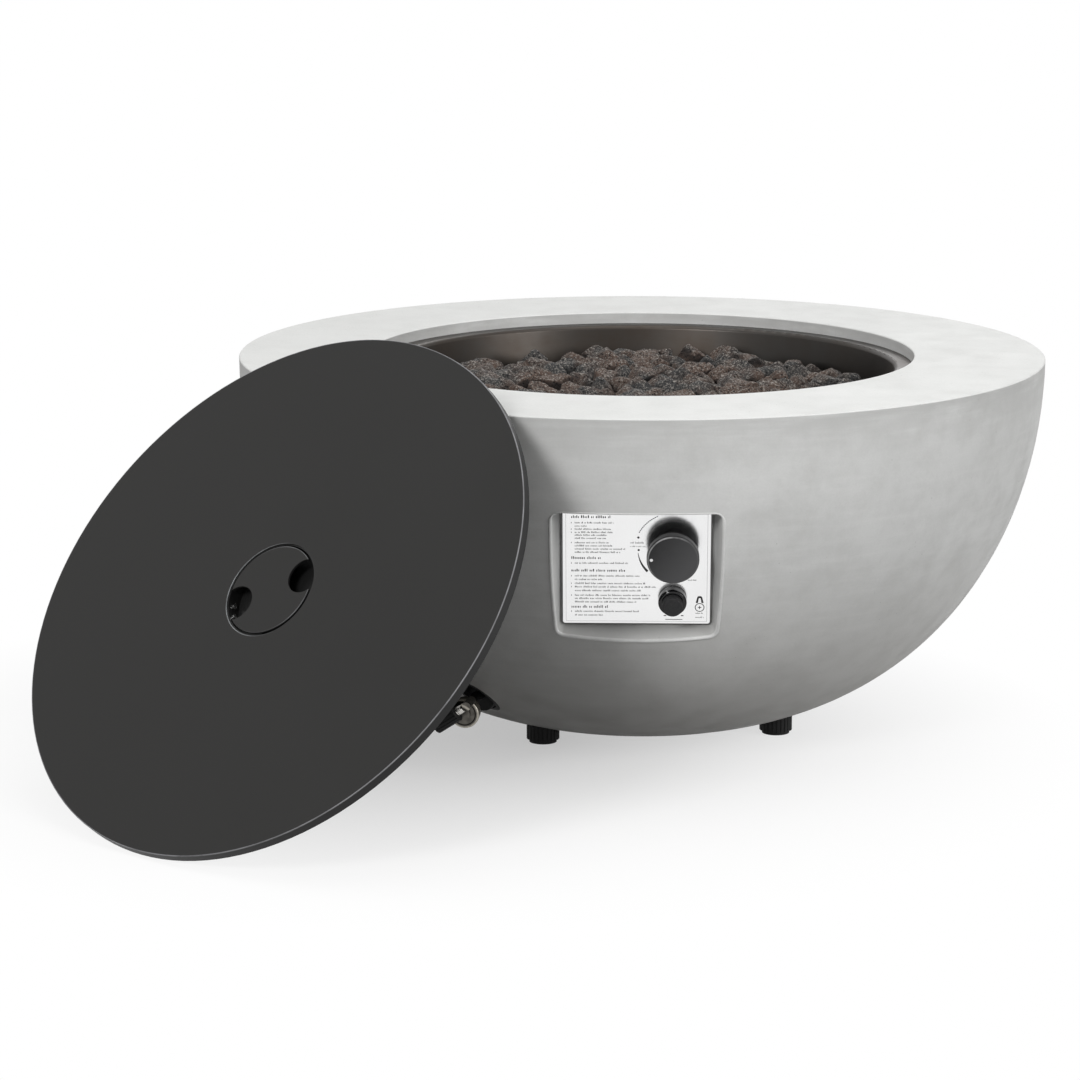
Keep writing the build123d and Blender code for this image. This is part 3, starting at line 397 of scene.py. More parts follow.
def knob_plastic():
    """Moulded black plastic, with a painted sheen that lightens its face towards the lower right and a
    painted highlight along the upper left of its front edge.
    """
    black = (0.018, 0.018, 0.0185)
    surface = Surface("knob_black", black, 0.34, specular=0.22)
    edge = surface.band(surface.from_axis(KNOB_MIDDLE, PANEL_OUT), KNOB_EDGE, 0.0011)
    across = surface.along_axis(KNOB_MIDDLE, Vector((0.8, 0, -0.6)))
    upper_left = surface.along_axis(KNOB_MIDDLE, Vector((-0.75, 0, 0.66)))
    corner = surface.span(upper_left, -0.006, 0.022, 0.12, 1.0)
    highlight_noise = surface.span(surface.noise(140.0, detail=3.0), 0.3, 0.6, 0.35, 1.0)
    patch = surface.noise(60.0, detail=5.0)
    base = surface.blend(patch, black, tinted(black, 1.3, 0.003))
    # Painted sheen: the face lightens towards the lower right
    base = surface.mix(surface.span(across, -0.024, 0.026), base, tinted(black, 4.2))
    # Painted highlight along the upper left of the front edge, broken up by a noise
    surface.set("Base Color", surface.mix(surface.times(edge, highlight_noise, corner), base, (0.34, 0.34, 0.34)))
    surface.rough(patch, 0.29, 0.40)
    surface.bump(surface.noise(1100.0, detail=3.0), 0.00002)
    return surface.material


def bowl_depth(surface, height):
    """How far a point lies inside the bowl's outside curve, as a node value."""
    share = surface.math("DIVIDE", surface.math("SUBTRACT", BOWL_HEIGHT, height), BOWL_HEIGHT + BOWL_DROP)
    share = surface.math("SUBTRACT", 1.0, surface.times(share, share))
    skin = surface.times(surface.math("POWER", share, 1 / BOWL_POWER), BOWL_RADIUS)
    flat = surface.vector_math("MULTIPLY", surface.place, (1, 1, 0))
    return surface.math("SUBTRACT", skin, surface.vector_math("LENGTH", flat, output="Value"))


def pocket_shade(surface, forward, height):
    """Painted shade on the walls of the control pocket: how much it darkens them, more so the deeper they
    lie.
    """
    deep = surface.span(bowl_depth(surface, height), 0.0012, 0.022, 0.0, 0.42)
    front = surface.span(forward, -0.36, -0.40)
    below = surface.span(height, 0.42, 0.40)
    return surface.times(deep, front, below)


def concrete_side(surface, height, rim, clouds, mottle, brushed):
    """Colour of the bowl's side: clouded and brushed, with painted shade that darkens it towards its foot,
    and darker in a band under the rim.
    """
    side = surface.blend(clouds, (0.600, 0.603, 0.593), (0.700, 0.703, 0.693))
    side = surface.mix(surface.span(mottle, 0.42, 0.72, 0.0, 0.42), side, (0.50, 0.50, 0.485))
    side = surface.mix(surface.span(brushed, 0.48, 0.72, 0.0, 0.4), side, (0.73, 0.73, 0.72))
    # Painted shade: darker towards the foot, which faces the floor
    side = surface.mix(surface.span(height, 0.30, 0.05, 0.0, 0.7), side, (0.43, 0.42, 0.40))
    band = surface.span(height, rim - 0.06, rim - 0.004, 0.0, 0.62)
    band = surface.times(band, surface.span(brushed, 0.30, 0.58))
    return surface.mix(band, side, (0.45, 0.45, 0.44))


def concrete():
    """Cast and sealed concrete: clouds, faint brushing round the bowl, pin holes with painted shade in them,
    painted shade deep in the control pocket, and a smoother top painted paler as light from above.
    """
    surface = Surface("concrete", (0.62, 0.62, 0.61), 0.7, specular=0.3)
    x, y, height = surface.split(surface.place)
    around = surface.math("ARCTAN2", y, x)
    ring = surface.joined(x=surface.times(around, 3.0), z=surface.times(height, 55.0))
    brushed = surface.noise(1.6, detail=5.0, place=ring)
    clouds = surface.noise(4.5, detail=8.0, rough=0.6)
    mottle = surface.noise(26.0, detail=6.0, rough=0.6)
    grain = surface.noise(420.0)
    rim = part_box("bowl_shell")[1].z
    side = concrete_side(surface, height, rim, clouds, mottle, brushed)
    # Painted shade deep in the control pocket
    side = surface.mix(pocket_shade(surface, y, height), side, (0.16, 0.16, 0.16))
    # The top is paler than the side: painted light, standing in for the stronger light on the upward face of
    # the same concrete
    top = surface.blend(clouds, (0.745, 0.75, 0.735), (0.785, 0.79, 0.775))
    top = surface.mix(surface.span(mottle, 0.5, 0.8, 0.0, 0.22), top, (0.66, 0.66, 0.64))
    color = surface.mix(surface.span(height, rim - 0.0016, rim - 0.0004), side, top)
    rare = surface.math("GREATER_THAN", surface.noise(11.0, detail=2.0), 0.56)
    holes = surface.times(surface.math("LESS_THAN", surface.cells(95.0), 0.07), rare)
    # Painted shade in the pin holes
    color = surface.mix(surface.times(holes, 0.5), color, (0.33, 0.33, 0.32))
    color = surface.mix(surface.span(grain, 0.35, 0.75, 0.0, 0.12), color, (0.40, 0.40, 0.39))
    surface.set("Base Color", color)
    surface.rough(mottle, 0.55, 0.75)
    surface.bump(mottle, 0.0006, 0.25)
    surface.bump(grain, 0.00016, 0.55)
    surface.bump(surface.times(holes, -1.0), 0.0008, 0.7)
    return surface.material


def lip_concrete():
    """Concrete on the bead round the control pocket, painted paler than the bowl as a highlight along the
    bead.
    """
    surface = Surface("lip_concrete", (0.72, 0.72, 0.71), 0.6, specular=0.3)
    mottle = surface.noise(40.0, detail=6.0, rough=0.6)
    grain = surface.noise(420.0)
    # Paler than the bowl's concrete: a painted highlight on the bead
    color = surface.blend(mottle, (0.66, 0.66, 0.65), (0.78, 0.78, 0.77))
    color = surface.mix(surface.span(grain, 0.35, 0.75, 0.0, 0.15), color, (0.45, 0.45, 0.44))
    surface.set("Base Color", color)
    surface.rough(mottle, 0.5, 0.7)
    surface.bump(grain, 0.00016, 0.5)
    return surface.material


def lava():
    """Porous dark rock: charcoal and rusty brown, with a pale dusty speckle painted strongest on its upward
    faces as light from above, painted shade on its sides and undersides, and painted shade in its deep pits.
    """
    surface = Surface("lava_rock", (0.03, 0.024, 0.021), 0.9, specular=0.4)
    tone = surface.noise(15.0, detail=2.0)
    grain = surface.noise(360.0, detail=6.0, rough=0.7)
    pits = surface.cells(230.0)
    small = surface.cells(560.0)
    upward = surface.split(surface.node("ShaderNodeNewGeometry").outputs["Normal"])["Z"]
    base = surface.mix(surface.span(tone, 0.42, 0.58), (0.0190, 0.0190, 0.0195), (0.064, 0.038, 0.0270))
    # Pale dusty speckle, painted strongest on upward faces as light from above
    dust = surface.times(surface.span(grain, 0.50, 0.62), surface.span(upward, 0.2, 0.95, 0.2, 1.0), 0.95)
    base = surface.mix(dust, base, (0.36, 0.335, 0.305))
    # Painted shade on sides and undersides
    base = surface.mix(surface.span(upward, 0.40, -0.15, 0.0, 0.85), base, (0.006, 0.005, 0.005))
    # Painted shade in the pits
    base = surface.mix(surface.span(pits, 0.36, 0.14, 0.0, 0.95), base, (0.004, 0.003, 0.003))
    surface.set("Base Color", base)
    surface.rough(grain, 0.62, 0.95)
    surface.bump(surface.span(pits, 0.05, 0.4), 0.0026, 1.0)
    surface.bump(surface.span(small, 0.05, 0.4), 0.0011, 0.8)
    surface.bump(grain, 0.0009, 0.8)
    return surface.material


def heat_steel(name, cold, hot, roughness):
    """Steel that has been hot: brown and blue-grey clouds on rolled sheet."""
    surface = Surface(name, cold, roughness, metallic=1.0)
    clouds = surface.noise(6.0, detail=6.0, rough=0.6)
    rolled = surface.noise(1.0, place=surface.stretch((60.0, 60.0, 500.0)))
    tint = surface.mix(surface.span(clouds, 0.35, 0.7), cold, hot)
    surface.set("Base Color", surface.mix(surface.span(rolled, 0.5, 0.8, 0.0, 0.4), tint, cold))
    surface.rough(clouds, roughness - 0.08, roughness + 0.1)
    surface.bump(rolled, 0.00005, 0.4)
    return surface.material


def regulator_alloy():
    """Cast alloy turned in rings: dark face, black step and a painted highlight on its rim."""
    surface = Surface("regulator_alloy", (0.11, 0.103, 0.092), 0.34, metallic=1.0)
    middle = sum(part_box("regulator_body"), Vector()) / 2
    radius = surface.from_axis(middle, REGULATOR_AXIS)
    lines = surface.noise(1.0, detail=3.0, place=surface.joined(x=surface.times(radius, 900.0)))
    cast = surface.noise(160.0, detail=5.0)
    step = surface.band(radius, REGULATOR_RADIUS - 0.0044, 0.0011)
    rim = surface.band(radius, REGULATOR_RADIUS - 0.0008, 0.0019)
    # Painted highlight on the rim, broken up by the cast noise
    rim_highlight = surface.times(rim, surface.span(cast, 0.25, 0.6, 0.6, 1.0))
    base = surface.blend(cast, (0.085, 0.080, 0.072), (0.15, 0.140, 0.125))
    base = surface.mix(step, base, (0.012, 0.011, 0.010))
    surface.set("Base Color", surface.mix(rim_highlight, base, (0.46, 0.43, 0.375)))
    surface.rough(lines, 0.26, 0.42)
    surface.bump(lines, 0.00003, 0.6)
    surface.bump(cast, 0.00005, 0.5)
    return surface.material


def mirror_sheet():
    """Polished stainless sheet: a soft mirror with faint upright polishing lines."""
    surface = Surface("panel_steel", (0.87, 0.87, 0.87), 0.16, metallic=1.0)
    lines = surface.noise(1.0, detail=3.0, place=surface.stretch((1600.0, 20.0, 20.0)))
    cloud = surface.noise(12.0)
    surface.set("Base Color", surface.blend(cloud, (0.85, 0.85, 0.852), (0.90, 0.90, 0.90)))
    surface.rough(lines, 0.13, 0.22)
    surface.bump(lines, 0.00001, 0.3)
    return surface.material


SLOT_LOOKS = {
    "concrete": concrete(),
    "pan_steel": heat_steel("pan_steel", (0.055, 0.052, 0.049), (0.046, 0.036, 0.029), 0.38),
    "burner_steel": heat_steel("burner_steel", (0.50, 0.49, 0.48), (0.36, 0.28, 0.22), 0.35),
    "shield_steel": metal("shield_steel", (0.55, 0.56, 0.57), 0.4),
    "brass": metal("brass", (0.72, 0.53, 0.25), 0.28),
    "ceramic_white": plastic("ceramic_white", (0.82, 0.80, 0.76), 0.25, 300.0),
    "lava_rock": lava(),
    "panel_steel": mirror_sheet(),
    "knob_black": knob_plastic(),
    "dot_white": plastic("dot_white", (0.80, 0.80, 0.80), 0.45),
    "valve_alloy": metal("valve_alloy", (0.58, 0.58, 0.59), 0.45, (300.0, 300.0, 300.0), 0.0001),
    "zinc_steel": metal("zinc_steel", (0.62, 0.62, 0.64), 0.32),
    "igniter_plastic": plastic("igniter_plastic", (0.012, 0.012, 0.012), 0.45),
    "cap_black": gloss("cap_black", (0.003, 0.003, 0.0035)),
    "button_black": grained("button_black", (0.0125, 0.0125, 0.013)),
    "battery_shell": paint("battery_shell", (0.05, 0.07, 0.10), 0.35),
    "flex_steel": metal("flex_steel", (0.60, 0.60, 0.60), 0.3),
    "line_rubber": rubber("line_rubber", (0.014, 0.014, 0.014)),
    "lead_silicone": rubber("lead_silicone", (0.30, 0.04, 0.03)),
    "foot_plastic": grained("foot_plastic", (0.006, 0.006, 0.006)),
    "pad_rubber": rubber("pad_rubber", (0.014, 0.014, 0.014)),
    "grommet_rubber": rubber("grommet_rubber", (0.006, 0.006, 0.006)),
    "pipe_black": paint("pipe_black", (0.010, 0.010, 0.010), 0.35),
    "regulator_alloy": regulator_alloy(),
    "bright_steel": metal("bright_steel", (0.78, 0.76, 0.72), 0.2),
    "wheel_black": grained("wheel_black", (0.006, 0.006, 0.006)),
    "lid_paint": lid_coat(),
    "cup_black": paint("cup_black", (0.006, 0.006, 0.006), 0.42),
    "screw_steel": metal("screw_steel", (0.75, 0.75, 0.74), 0.25),
}

for part in frame["record"]["subparts"]:
    node = frame["nodes"][part["node"]]
    for slot in node.material_slots:
        slot.material = SLOT_LOOKS[part["material_slot"]]


def mesh_object(name, vertices, faces, look, body, smooth=True):
    """Makes an object from points and faces, with a material, and sets it on a body."""
    mesh = bpy.data.meshes.new(name)
    mesh.from_pydata(vertices, [], faces)
    mesh.materials.append(look)
    mesh.polygons.foreach_set("use_smooth", [smooth] * len(mesh.polygons))
    mesh.update()
    made = bpy.data.objects.new(name, mesh)
    bpy.context.scene.collection.objects.link(made)
    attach(made, body)
    return made


def rock_shape(rng, fineness):
    """Points and faces of one rock of radius about 1: a lump cut by planes, then pitted."""
    lump = bmesh.new()
    bmesh.ops.create_icosphere(lump, subdivisions=fineness, radius=1.0)
    points = np.array([v.co for v in lump.verts])
    faces = np.array([[v.index for v in f.verts] for f in lump.faces])
    lump.free()
    for _ in range(ROCK_CUTS):
        normal = np.array([rng.gauss(0, 1) for _ in range(3)])
        normal /= np.linalg.norm(normal)
        reach = rng.uniform(*CUT_REACH)
        over = np.maximum(points @ normal - reach, 0.0)
        points -= np.outer(over * CUT_SHARE, normal)
    seed = Vector((rng.uniform(0, 90), rng.uniform(0, 90), rng.uniform(0, 90)))
    for index, point in enumerate(points):
        here = Vector(point)
        swell = 0.12 * noise.noise(here * 1.5 + seed) + 0.05 * noise.noise(here * 4.0 + seed)
        swell += 0.025 * noise.noise(here * 11.0 + seed)
        pit = noise.voronoi(here * PIT_SCALE + seed)[0][0]
        swell -= PIT_DEPTH * max(0.0, PIT_WIDTH - pit) / PIT_WIDTH
        points[index] = point * (1.0 + swell)
    points *= np.array([rng.uniform(0.9, 1.12), rng.uniform(0.8, 1.0), rng.uniform(0.72, 0.95)])
    return points / np.abs(points).max(), faces


def turned(rng):
    """A random rotation as a 3 by 3 array."""
    axis = Vector((rng.gauss(0, 1), rng.gauss(0, 1), rng.gauss(0, 1))).normalized()
    return np.array(Matrix.Rotation(rng.uniform(0, math.tau), 3, axis))


def rock_pile():
    """A full bed of separate rocks inside the room that the CAD rocks take, with chips between them."""
    rng = random.Random(5)
    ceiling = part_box("lava_rocks")[1].z
    bed_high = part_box("lava_rock_bed")[1]
    reach = bed_high.x - ROCK_CLEAR
    rocks = [rock_shape(rng, ROCK_FINENESS) for _ in range(ROCK_SHAPES)]
    chips = [rock_shape(rng, CHIP_FINENESS) for _ in range(CHIP_SHAPES)]
    vertices, faces, count = [], [], 0

    def put(shape, place, size):
        """Adds a rock, turned at random, that stands at a place, held below the ceiling and in the pan."""
        nonlocal count
        points = (shape[0] @ turned(rng).T) * size
        points += np.array(place) - np.array([0, 0, points[:, 2].min()])
        points[:, 2] -= max(0.0, points[:, 2].max() - (ceiling - rng.uniform(0.0003, 0.009)))
        far = np.maximum(np.hypot(points[:, 0], points[:, 1]) / reach, 1.0)
        points[:, :2] /= far[:, None]
        vertices.append(points)
        faces.append(shape[1] + count)
        count += len(points)

    row_step = ROCK_PITCH * math.sqrt(3) / 2
    rows = int(reach / row_step)
    for row in range(-rows, rows + 1):
        shift = 0.5 if row % 2 else 0.0
        for column in range(-COLUMNS, COLUMNS + 1):
            x = (column + shift) * ROCK_PITCH + rng.uniform(-ROCK_JITTER, ROCK_JITTER)
            y = row * row_step + rng.uniform(-ROCK_JITTER, ROCK_JITTER)
            size = rng.uniform(*ROCK_SIZES)
            far = math.hypot(x, y)
            over_pilot = abs(x) < PILOT_GAP[0] and abs(y - PILOT_AT) < PILOT_GAP[1]
            if far + ROCK_INSIDE * size > reach or over_pilot:
                continue
            heap = ROCK_HEAP * (1 - (far / reach) ** 2)
            place = (x, y, bed_high.z + rng.uniform(-0.004, 0.006) + heap * rng.uniform(0.5, 1.0))
            put(rng.choice(rocks), place, size)
    for _ in range(CHIP_COUNT):
        angle, far = rng.uniform(0, math.tau), reach * math.sqrt(rng.random())
        if far > reach - CHIP_CLEAR:
            continue
        place = (far * math.cos(angle), far * math.sin(angle), bed_high.z + rng.uniform(0.0, 0.012))
        put(rng.choice(chips), place, rng.uniform(*CHIP_SIZES))
    made = mesh_object(
        "lava_rock_pile",
        np.concatenate(vertices).tolist(),
        np.concatenate(faces).tolist(),
        SLOT_LOOKS["lava_rock"],
        "bowl",
    )
    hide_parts("lava_rocks")


rock_pile()


def on_panel(x, up):
    """A point just in front of the panel's face, from its middle."""
    return PANEL_CENTRE + PANEL_RIGHT * x + PANEL_UP * up + PANEL_OUT * PRINT_LIFT


class Print:
    """Flat marks on the panel, gathered into one mesh."""

    def __init__(self):
        self.vertices = []
        self.faces = []

    def shape(self, corners):
        first = len(self.vertices)
        self.vertices += [on_panel(x, up) for x, up in corners]
        self.faces.append(list(range(first, first + len(corners))))

    def bar(self, x, up, width, height):
        self.shape([(x, up), (x + width, up), (x + width, up + height), (x, up + height)])

    def disc(self, x, up, radius, corners=20):
        turns = [k * math.tau / corners for k in range(corners)]
        self.shape([(x + radius * math.cos(turn), up + radius * math.sin(turn)) for turn in turns])

    def ring(self, x, up, inner, outer, steps=40):
        turns = [k * math.tau / steps for k in range(steps + 1)]
        for a, b in zip(turns, turns[1:]):
            self.shape([
                (x + radius * math.cos(turn), up + radius * math.sin(turn))
                for radius, turn in ((inner, a), (outer, a), (outer, b), (inner, b))
            ])

    def taper(self, x, up, radius, span, halves, steps=14):
        """An arc that widens from its start to its end."""
        for index in range(steps):
            corners = []
            for step, sides in ((index, (-1, 1)), (index + 1, (1, -1))):
                share = step / steps
                angle = math.radians(span[0] + (span[1] - span[0]) * share)
                half = halves[0] + (halves[1] - halves[0]) * share
                for side in sides:
                    reach = radius + side * half
                    corners.append((x + reach * math.cos(angle), up + reach * math.sin(angle)))
            self.shape(corners)

    def battery_sign(self, x, up):
        """A battery cell seen end on below a wedge that points at it."""
        self.ring(x, up - 0.0071, 0.0049, 0.0059)
        self.bar(x - 0.0022, up - 0.0076, 0.0044, 0.0010)
        self.bar(x - 0.0005, up - 0.0093, 0.0010, 0.0044)
        for side in (-1, 1):
            self.shape([(x + side * 0.0006, up + 0.0082), (x + side * 0.0030, up + 0.0069),
                        (x + side * 0.0049, up - 0.0010), (x + side * 0.0022, up - 0.0010)])
        self.shape([(x - 0.0030, up + 0.0069), (x - 0.0009, up + 0.0056), (x + 0.0009, up + 0.0056),
                    (x + 0.0030, up + 0.0069), (x + 0.0016, up + 0.0084), (x - 0.0016, up + 0.0084)])

    def line(self, x, up, width, height, rng):
        """One line of small type, greeked to plain blocks in groups of uneven length."""
        end = x + width
        left = rng.randint(2, 9)
        while x < end - 0.4 * height:
            size = height * rng.uniform(0.22, 0.42)
            tall = height * rng.choice((0.66, 0.66, 0.72, 1.0))
            self.bar(x, up, min(size, end - x), tall)
            x += size + 0.26 * height
            left -= 1
            if left == 0:
                x += 0.5 * height
                left = rng.randint(2, 9)


# The rows of the print, in millimetres on the panel from its middle: how high each lies and where it ends.
# Each kind has its start, its type's height, and whether a number leads it.
MM = 0.001
HEADINGS = ((67.8, -28.4), (12.6, -41.7), (-4.4, -13.0), (-53.9, -34.0))
NUMBERED = (
    (59.9, -27.7), (51.3, -31.2), (47.0, -28.4), (33.1, -34.0), (5.5, -10.2), (-11.8, 4.5),
    (-22.1, 10.8), (-26.8, 23.4), (-38.2, 17.1), (-60.2, 3.8),
)
PLAIN = (
    (55.5, -58.5), (43.2, -35.4), (39.0, -36.8), (28.9, -28.4), (24.6, -13.7), (20.2, -20.0),
    (-16.7, -41.0), (-31.9, 5.9), (-42.6, 16.4), (-47.3, 1.0), (-65.3, -41.0),
)
KINDS_OF_ROW = ((HEADINGS, -79.5, 3.5, False), (NUMBERED, -75.3, 2.3, True), (PLAIN, -75.3, 2.3, False))
NUMBER_START = -79.9
NUMBER_WIDTH = 0.7

# The dotted arc above the knob: its first angle, its step, its reach, and how much each dot moves in
DOT_COUNT = 13
DOT_ANGLE = 113.4
DOT_STEP = 3.05
DOT_REACH = 48.5
DOT_INWARD = 0.12
DOT_RADIUS = 0.85

# Other marks: discs (place and radius), and short lines of type and bars (place, width and height)
DISCS = ((2.0, 40.2, 1.5), (2.4, 23.3, 1.4))
SHORT_LINES = ((-7.4, 32.0, 17.5, 2.6), (-7.9, 27.4, 18.5, 1.6), (62.7, -18.0, 11.2, 1.8))
BARS = ((35.4, -71.4, 21.0, 0.8), (33.5, -66.4, 3.2, 1.2), (54.6, -66.4, 3.2, 1.2))
BATTERY_LINES = ((72.4, -63.1, 10.0, 1.8), (72.4, -68.7, 10.0, 1.8))
BATTERY_AT = (77.4, -47.3)
TAPER_REACH = 42.5
TAPER_SPAN = (186.0, 224.0)
TAPER_HALVES = (0.3, 1.6)


def in_metres(values):
    """Millimetres on the panel in metres."""
    return [value * MM for value in values]


def panel_print():
    """Greeked print: rows of bars, the knob's dotted and tapered scale, and a plain battery sign."""
    rng = random.Random(3)
    marks = Print()
    for rows, start, type_height, numbered in KINDS_OF_ROW:
        height = type_height * MM
        for up, end in rows:
            low = up * MM - height / 2
            marks.line(start * MM, low, (end - start) * MM, height, rng)
            if numbered:
                marks.bar(NUMBER_START * MM, low, NUMBER_WIDTH * MM, height * 0.8)
    knob_x, knob_up = KNOB_AT
    for index in range(DOT_COUNT):
        angle = math.radians(DOT_ANGLE + index * DOT_STEP)
        reach = (DOT_REACH - DOT_INWARD * index) * MM
        marks.disc(knob_x + reach * math.cos(angle), knob_up + reach * math.sin(angle), DOT_RADIUS * MM)
    marks.taper(knob_x, knob_up, TAPER_REACH * MM, TAPER_SPAN, in_metres(TAPER_HALVES))
    for disc in DISCS:
        marks.disc(*in_metres(disc))
    for line in SHORT_LINES:
        marks.line(*in_metres(line), rng)
    for bar in BARS:
        marks.bar(*in_metres(bar))
    for line in BATTERY_LINES:
        marks.line(*in_metres(line), rng)
    marks.battery_sign(*in_metres(BATTERY_AT))
    ink = Surface("print_ink", (0.05, 0.05, 0.05), 0.6, specular=0.2)
    worn = ink.noise(900.0, detail=3.0)
    ink.set("Base Color", ink.mix(ink.span(worn, 0.4, 0.8), (0.03, 0.03, 0.03), (0.09, 0.09, 0.09)))
    mesh_object("panel_print", marks.vertices, marks.faces, ink.material, "bowl", smooth=False)


def plate_fold():
    """Flat darker strips just inside the plate's folded sides and ends: painted shade standing in for the
    shallow crease that runs there.
    """
    crease = Print()
    for side in (-1, 1):
        crease.bar(side * FOLD_REACH - FOLD_WIDTH / 2, FOLD_LOW, FOLD_WIDTH, FOLD_HEIGHT)
    for up in END_FOLDS:
        crease.bar(-FOLD_REACH, up, 2 * FOLD_REACH, END_FOLD_WIDTH)
    look = metal("painted_crease_shade", (0.42, 0.42, 0.42), 0.4)
    mesh_object("plate_fold", crease.vertices, crease.faces, look, "bowl", smooth=False)


panel_print()
plate_fold()


def bowl_radius(height):
    """The bowl's outside radius at a height."""
    share = (BOWL_HEIGHT - height) / (BOWL_HEIGHT + BOWL_DROP)
    return BOWL_RADIUS * (1 - share * share) ** (1 / BOWL_POWER)


def at_mouth(point):
    """Whether a point lies by the control pocket, at the bowl's outside."""
    near = all(MOUTH_LOW[k] < point[k] < MOUTH_HIGH[k] for k in range(3))
    return near and bowl_radius(point.z) - math.hypot(point.x, point.y) < MOUTH_DEPTH


def mouth_line():
    """Points in order round the pocket's mouth, each with its direction into the concrete."""
    shell = bmesh.new()
    shell.from_mesh(frame["nodes"]["bowl_shell"].data)
    bmesh.ops.remove_doubles(shell, verts=shell.verts, dist=1e-6)
    near, inward = {}, {}
    for edge in shell.edges:
        if len(edge.link_faces) != 2 or edge.calc_face_angle(0) < MOUTH_CREASE:
            continue
        if not all(at_mouth(vertex.co) for vertex in edge.verts):
            continue
        pull = -(edge.link_faces[0].normal + edge.link_faces[1].normal).normalized()
        for vertex, other in (edge.verts, reversed(edge.verts)):
            near.setdefault(vertex, []).append(other)
            inward[vertex] = inward.get(vertex, Vector()) + pull
    start = max(near, key=lambda v: v.co.z)
    loop, before = [start], None
    while len(loop) < len(near) + 1:
        following = [v for v in near[loop[-1]] if v is not before and v not in loop[1:]]
        if not following or following[0] is start:
            break
        before = loop[-1]
        loop.append(following[0])
    points = [v.co.copy() for v in loop]
    pulls = [inward[v].normalized() for v in loop]
    shell.free()
    return points, pulls


def even_steps(points, pulls):
    """The closed line again in LIP_STEPS even steps."""
    lengths = [0.0]
    for a, b in zip(points, points[1:] + points[:1]):
        lengths.append(lengths[-1] + (b - a).length)
    centres, ways = [], []
    index = 0
    for step in range(LIP_STEPS):
        run = lengths[-1] * step / LIP_STEPS
        while lengths[index + 1] < run:
            index += 1
        share = (run - lengths[index]) / max(lengths[index + 1] - lengths[index], 1e-9)
        after = (index + 1) % len(points)
        centres.append(points[index].lerp(points[after], share))
        ways.append(pulls[index].lerp(pulls[after], share).normalized())
    return centres, ways


def evened(vectors):
    """A closed row of vectors, each averaged with its neighbours."""
    count = len(vectors)
    return [(vectors[k - 1] + vectors[k] * 2 + vectors[(k + 1) % count]) / 4 for k in range(count)]


def pocket_lip():
    """A rounded bead along the mouth of the control pocket."""
    centres, ways = even_steps(*mouth_line())
    for _ in range(6):
        ways = [way.normalized() for way in evened(ways)]
    rises = [min(max((c.z - LIP_THIN_FROM) / LIP_THIN_RUN, 0.0), 1.0) for c in centres]
    thin = [1.0 - LIP_THIN_SHARE * rise for rise in rises]
    centres = [c + w * LIP_INSET * t for c, w, t in zip(centres, ways, thin)]
    for _ in range(3):
        centres = evened(centres)
    total = LIP_STEPS * LIP_SIDES
    vertices, faces = [], []
    for k in range(LIP_STEPS):
        along = (centres[(k + 1) % LIP_STEPS] - centres[k - 1]).normalized()
        out = (-ways[k] + along * ways[k].dot(along)).normalized()
        across = along.cross(out)
        for turn in range(LIP_SIDES):
            angle = turn * math.tau / LIP_SIDES
            size = LIP_RADIUS * thin[k]
            vertices.append(centres[k] + (out * math.cos(angle) + across * math.sin(angle)) * size)
            a, b = k * LIP_SIDES + turn, k * LIP_SIDES + (turn + 1) % LIP_SIDES
            faces.append((a, b, (b + LIP_SIDES) % total, (a + LIP_SIDES) % total))
    mesh_object("pocket_lip", vertices, faces, lip_concrete(), "bowl")


pocket_lip()


def knurled_size(share, angle):
    """The ferrule's radius at a share of its length: bevel, plain bead, groove, then crossed knurling."""
    edge = min(share, 1 - share)
    if edge < BEVEL_END:
        return FERRULE_RADIUS - BEVEL_DEPTH
    if edge < BEAD_END:
        return FERRULE_RADIUS
    if edge < GROOVE_END:
        return FERRULE_RADIUS - GROOVE_DEPTH
    turn, rise = KNURL_STARTS * angle, KNURL_STARTS * share
    cross = abs(math.sin(turn + rise)) * abs(math.sin(turn - rise))
    return FERRULE_RADIUS - KNURL_DEPTH * (1 - cross)


def knurled_ferrule():
    """Collar with crossed knurling between two plain beads, on its spigot."""
    side = FERRULE_AXIS.orthogonal().normalized()
    other = FERRULE_AXIS.cross(side)
    start = FERRULE_CENTRE - FERRULE_AXIS * FERRULE_LENGTH / 2
    end = FERRULE_LENGTH + SPIGOT_LENGTH
    profile = [(0.0, 0.0), (0.0, FERRULE_RADIUS - BEVEL_DEPTH)]
    profile += [(step / FERRULE_RINGS * FERRULE_LENGTH, None) for step in range(FERRULE_RINGS + 1)]
    profile += [(FERRULE_LENGTH, SPIGOT_RADIUS), (end, SPIGOT_RADIUS), (end, 0.0)]
    vertices, faces = [], []
    for run, radius in profile:
        for k in range(FERRULE_SIDES):
            angle = k * math.tau / FERRULE_SIDES
            size = knurled_size(run / FERRULE_LENGTH, angle) if radius is None else radius
            outward = side * math.cos(angle) + other * math.sin(angle)
            vertices.append(start + FERRULE_AXIS * run + outward * size)
    for ring in range(len(profile) - 1):
        for k in range(FERRULE_SIDES):
            a, b = ring * FERRULE_SIDES + k, ring * FERRULE_SIDES + (k + 1) % FERRULE_SIDES
            faces.append((a, b, b + FERRULE_SIDES, a + FERRULE_SIDES))
    made = mesh_object("knurled_ferrule", vertices, faces, SLOT_LOOKS["bright_steel"], "bowl")
    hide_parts("inlet_ferrule")


knurled_ferrule()


# Stage, light and camera
FLOOR_SIZE = 14.0
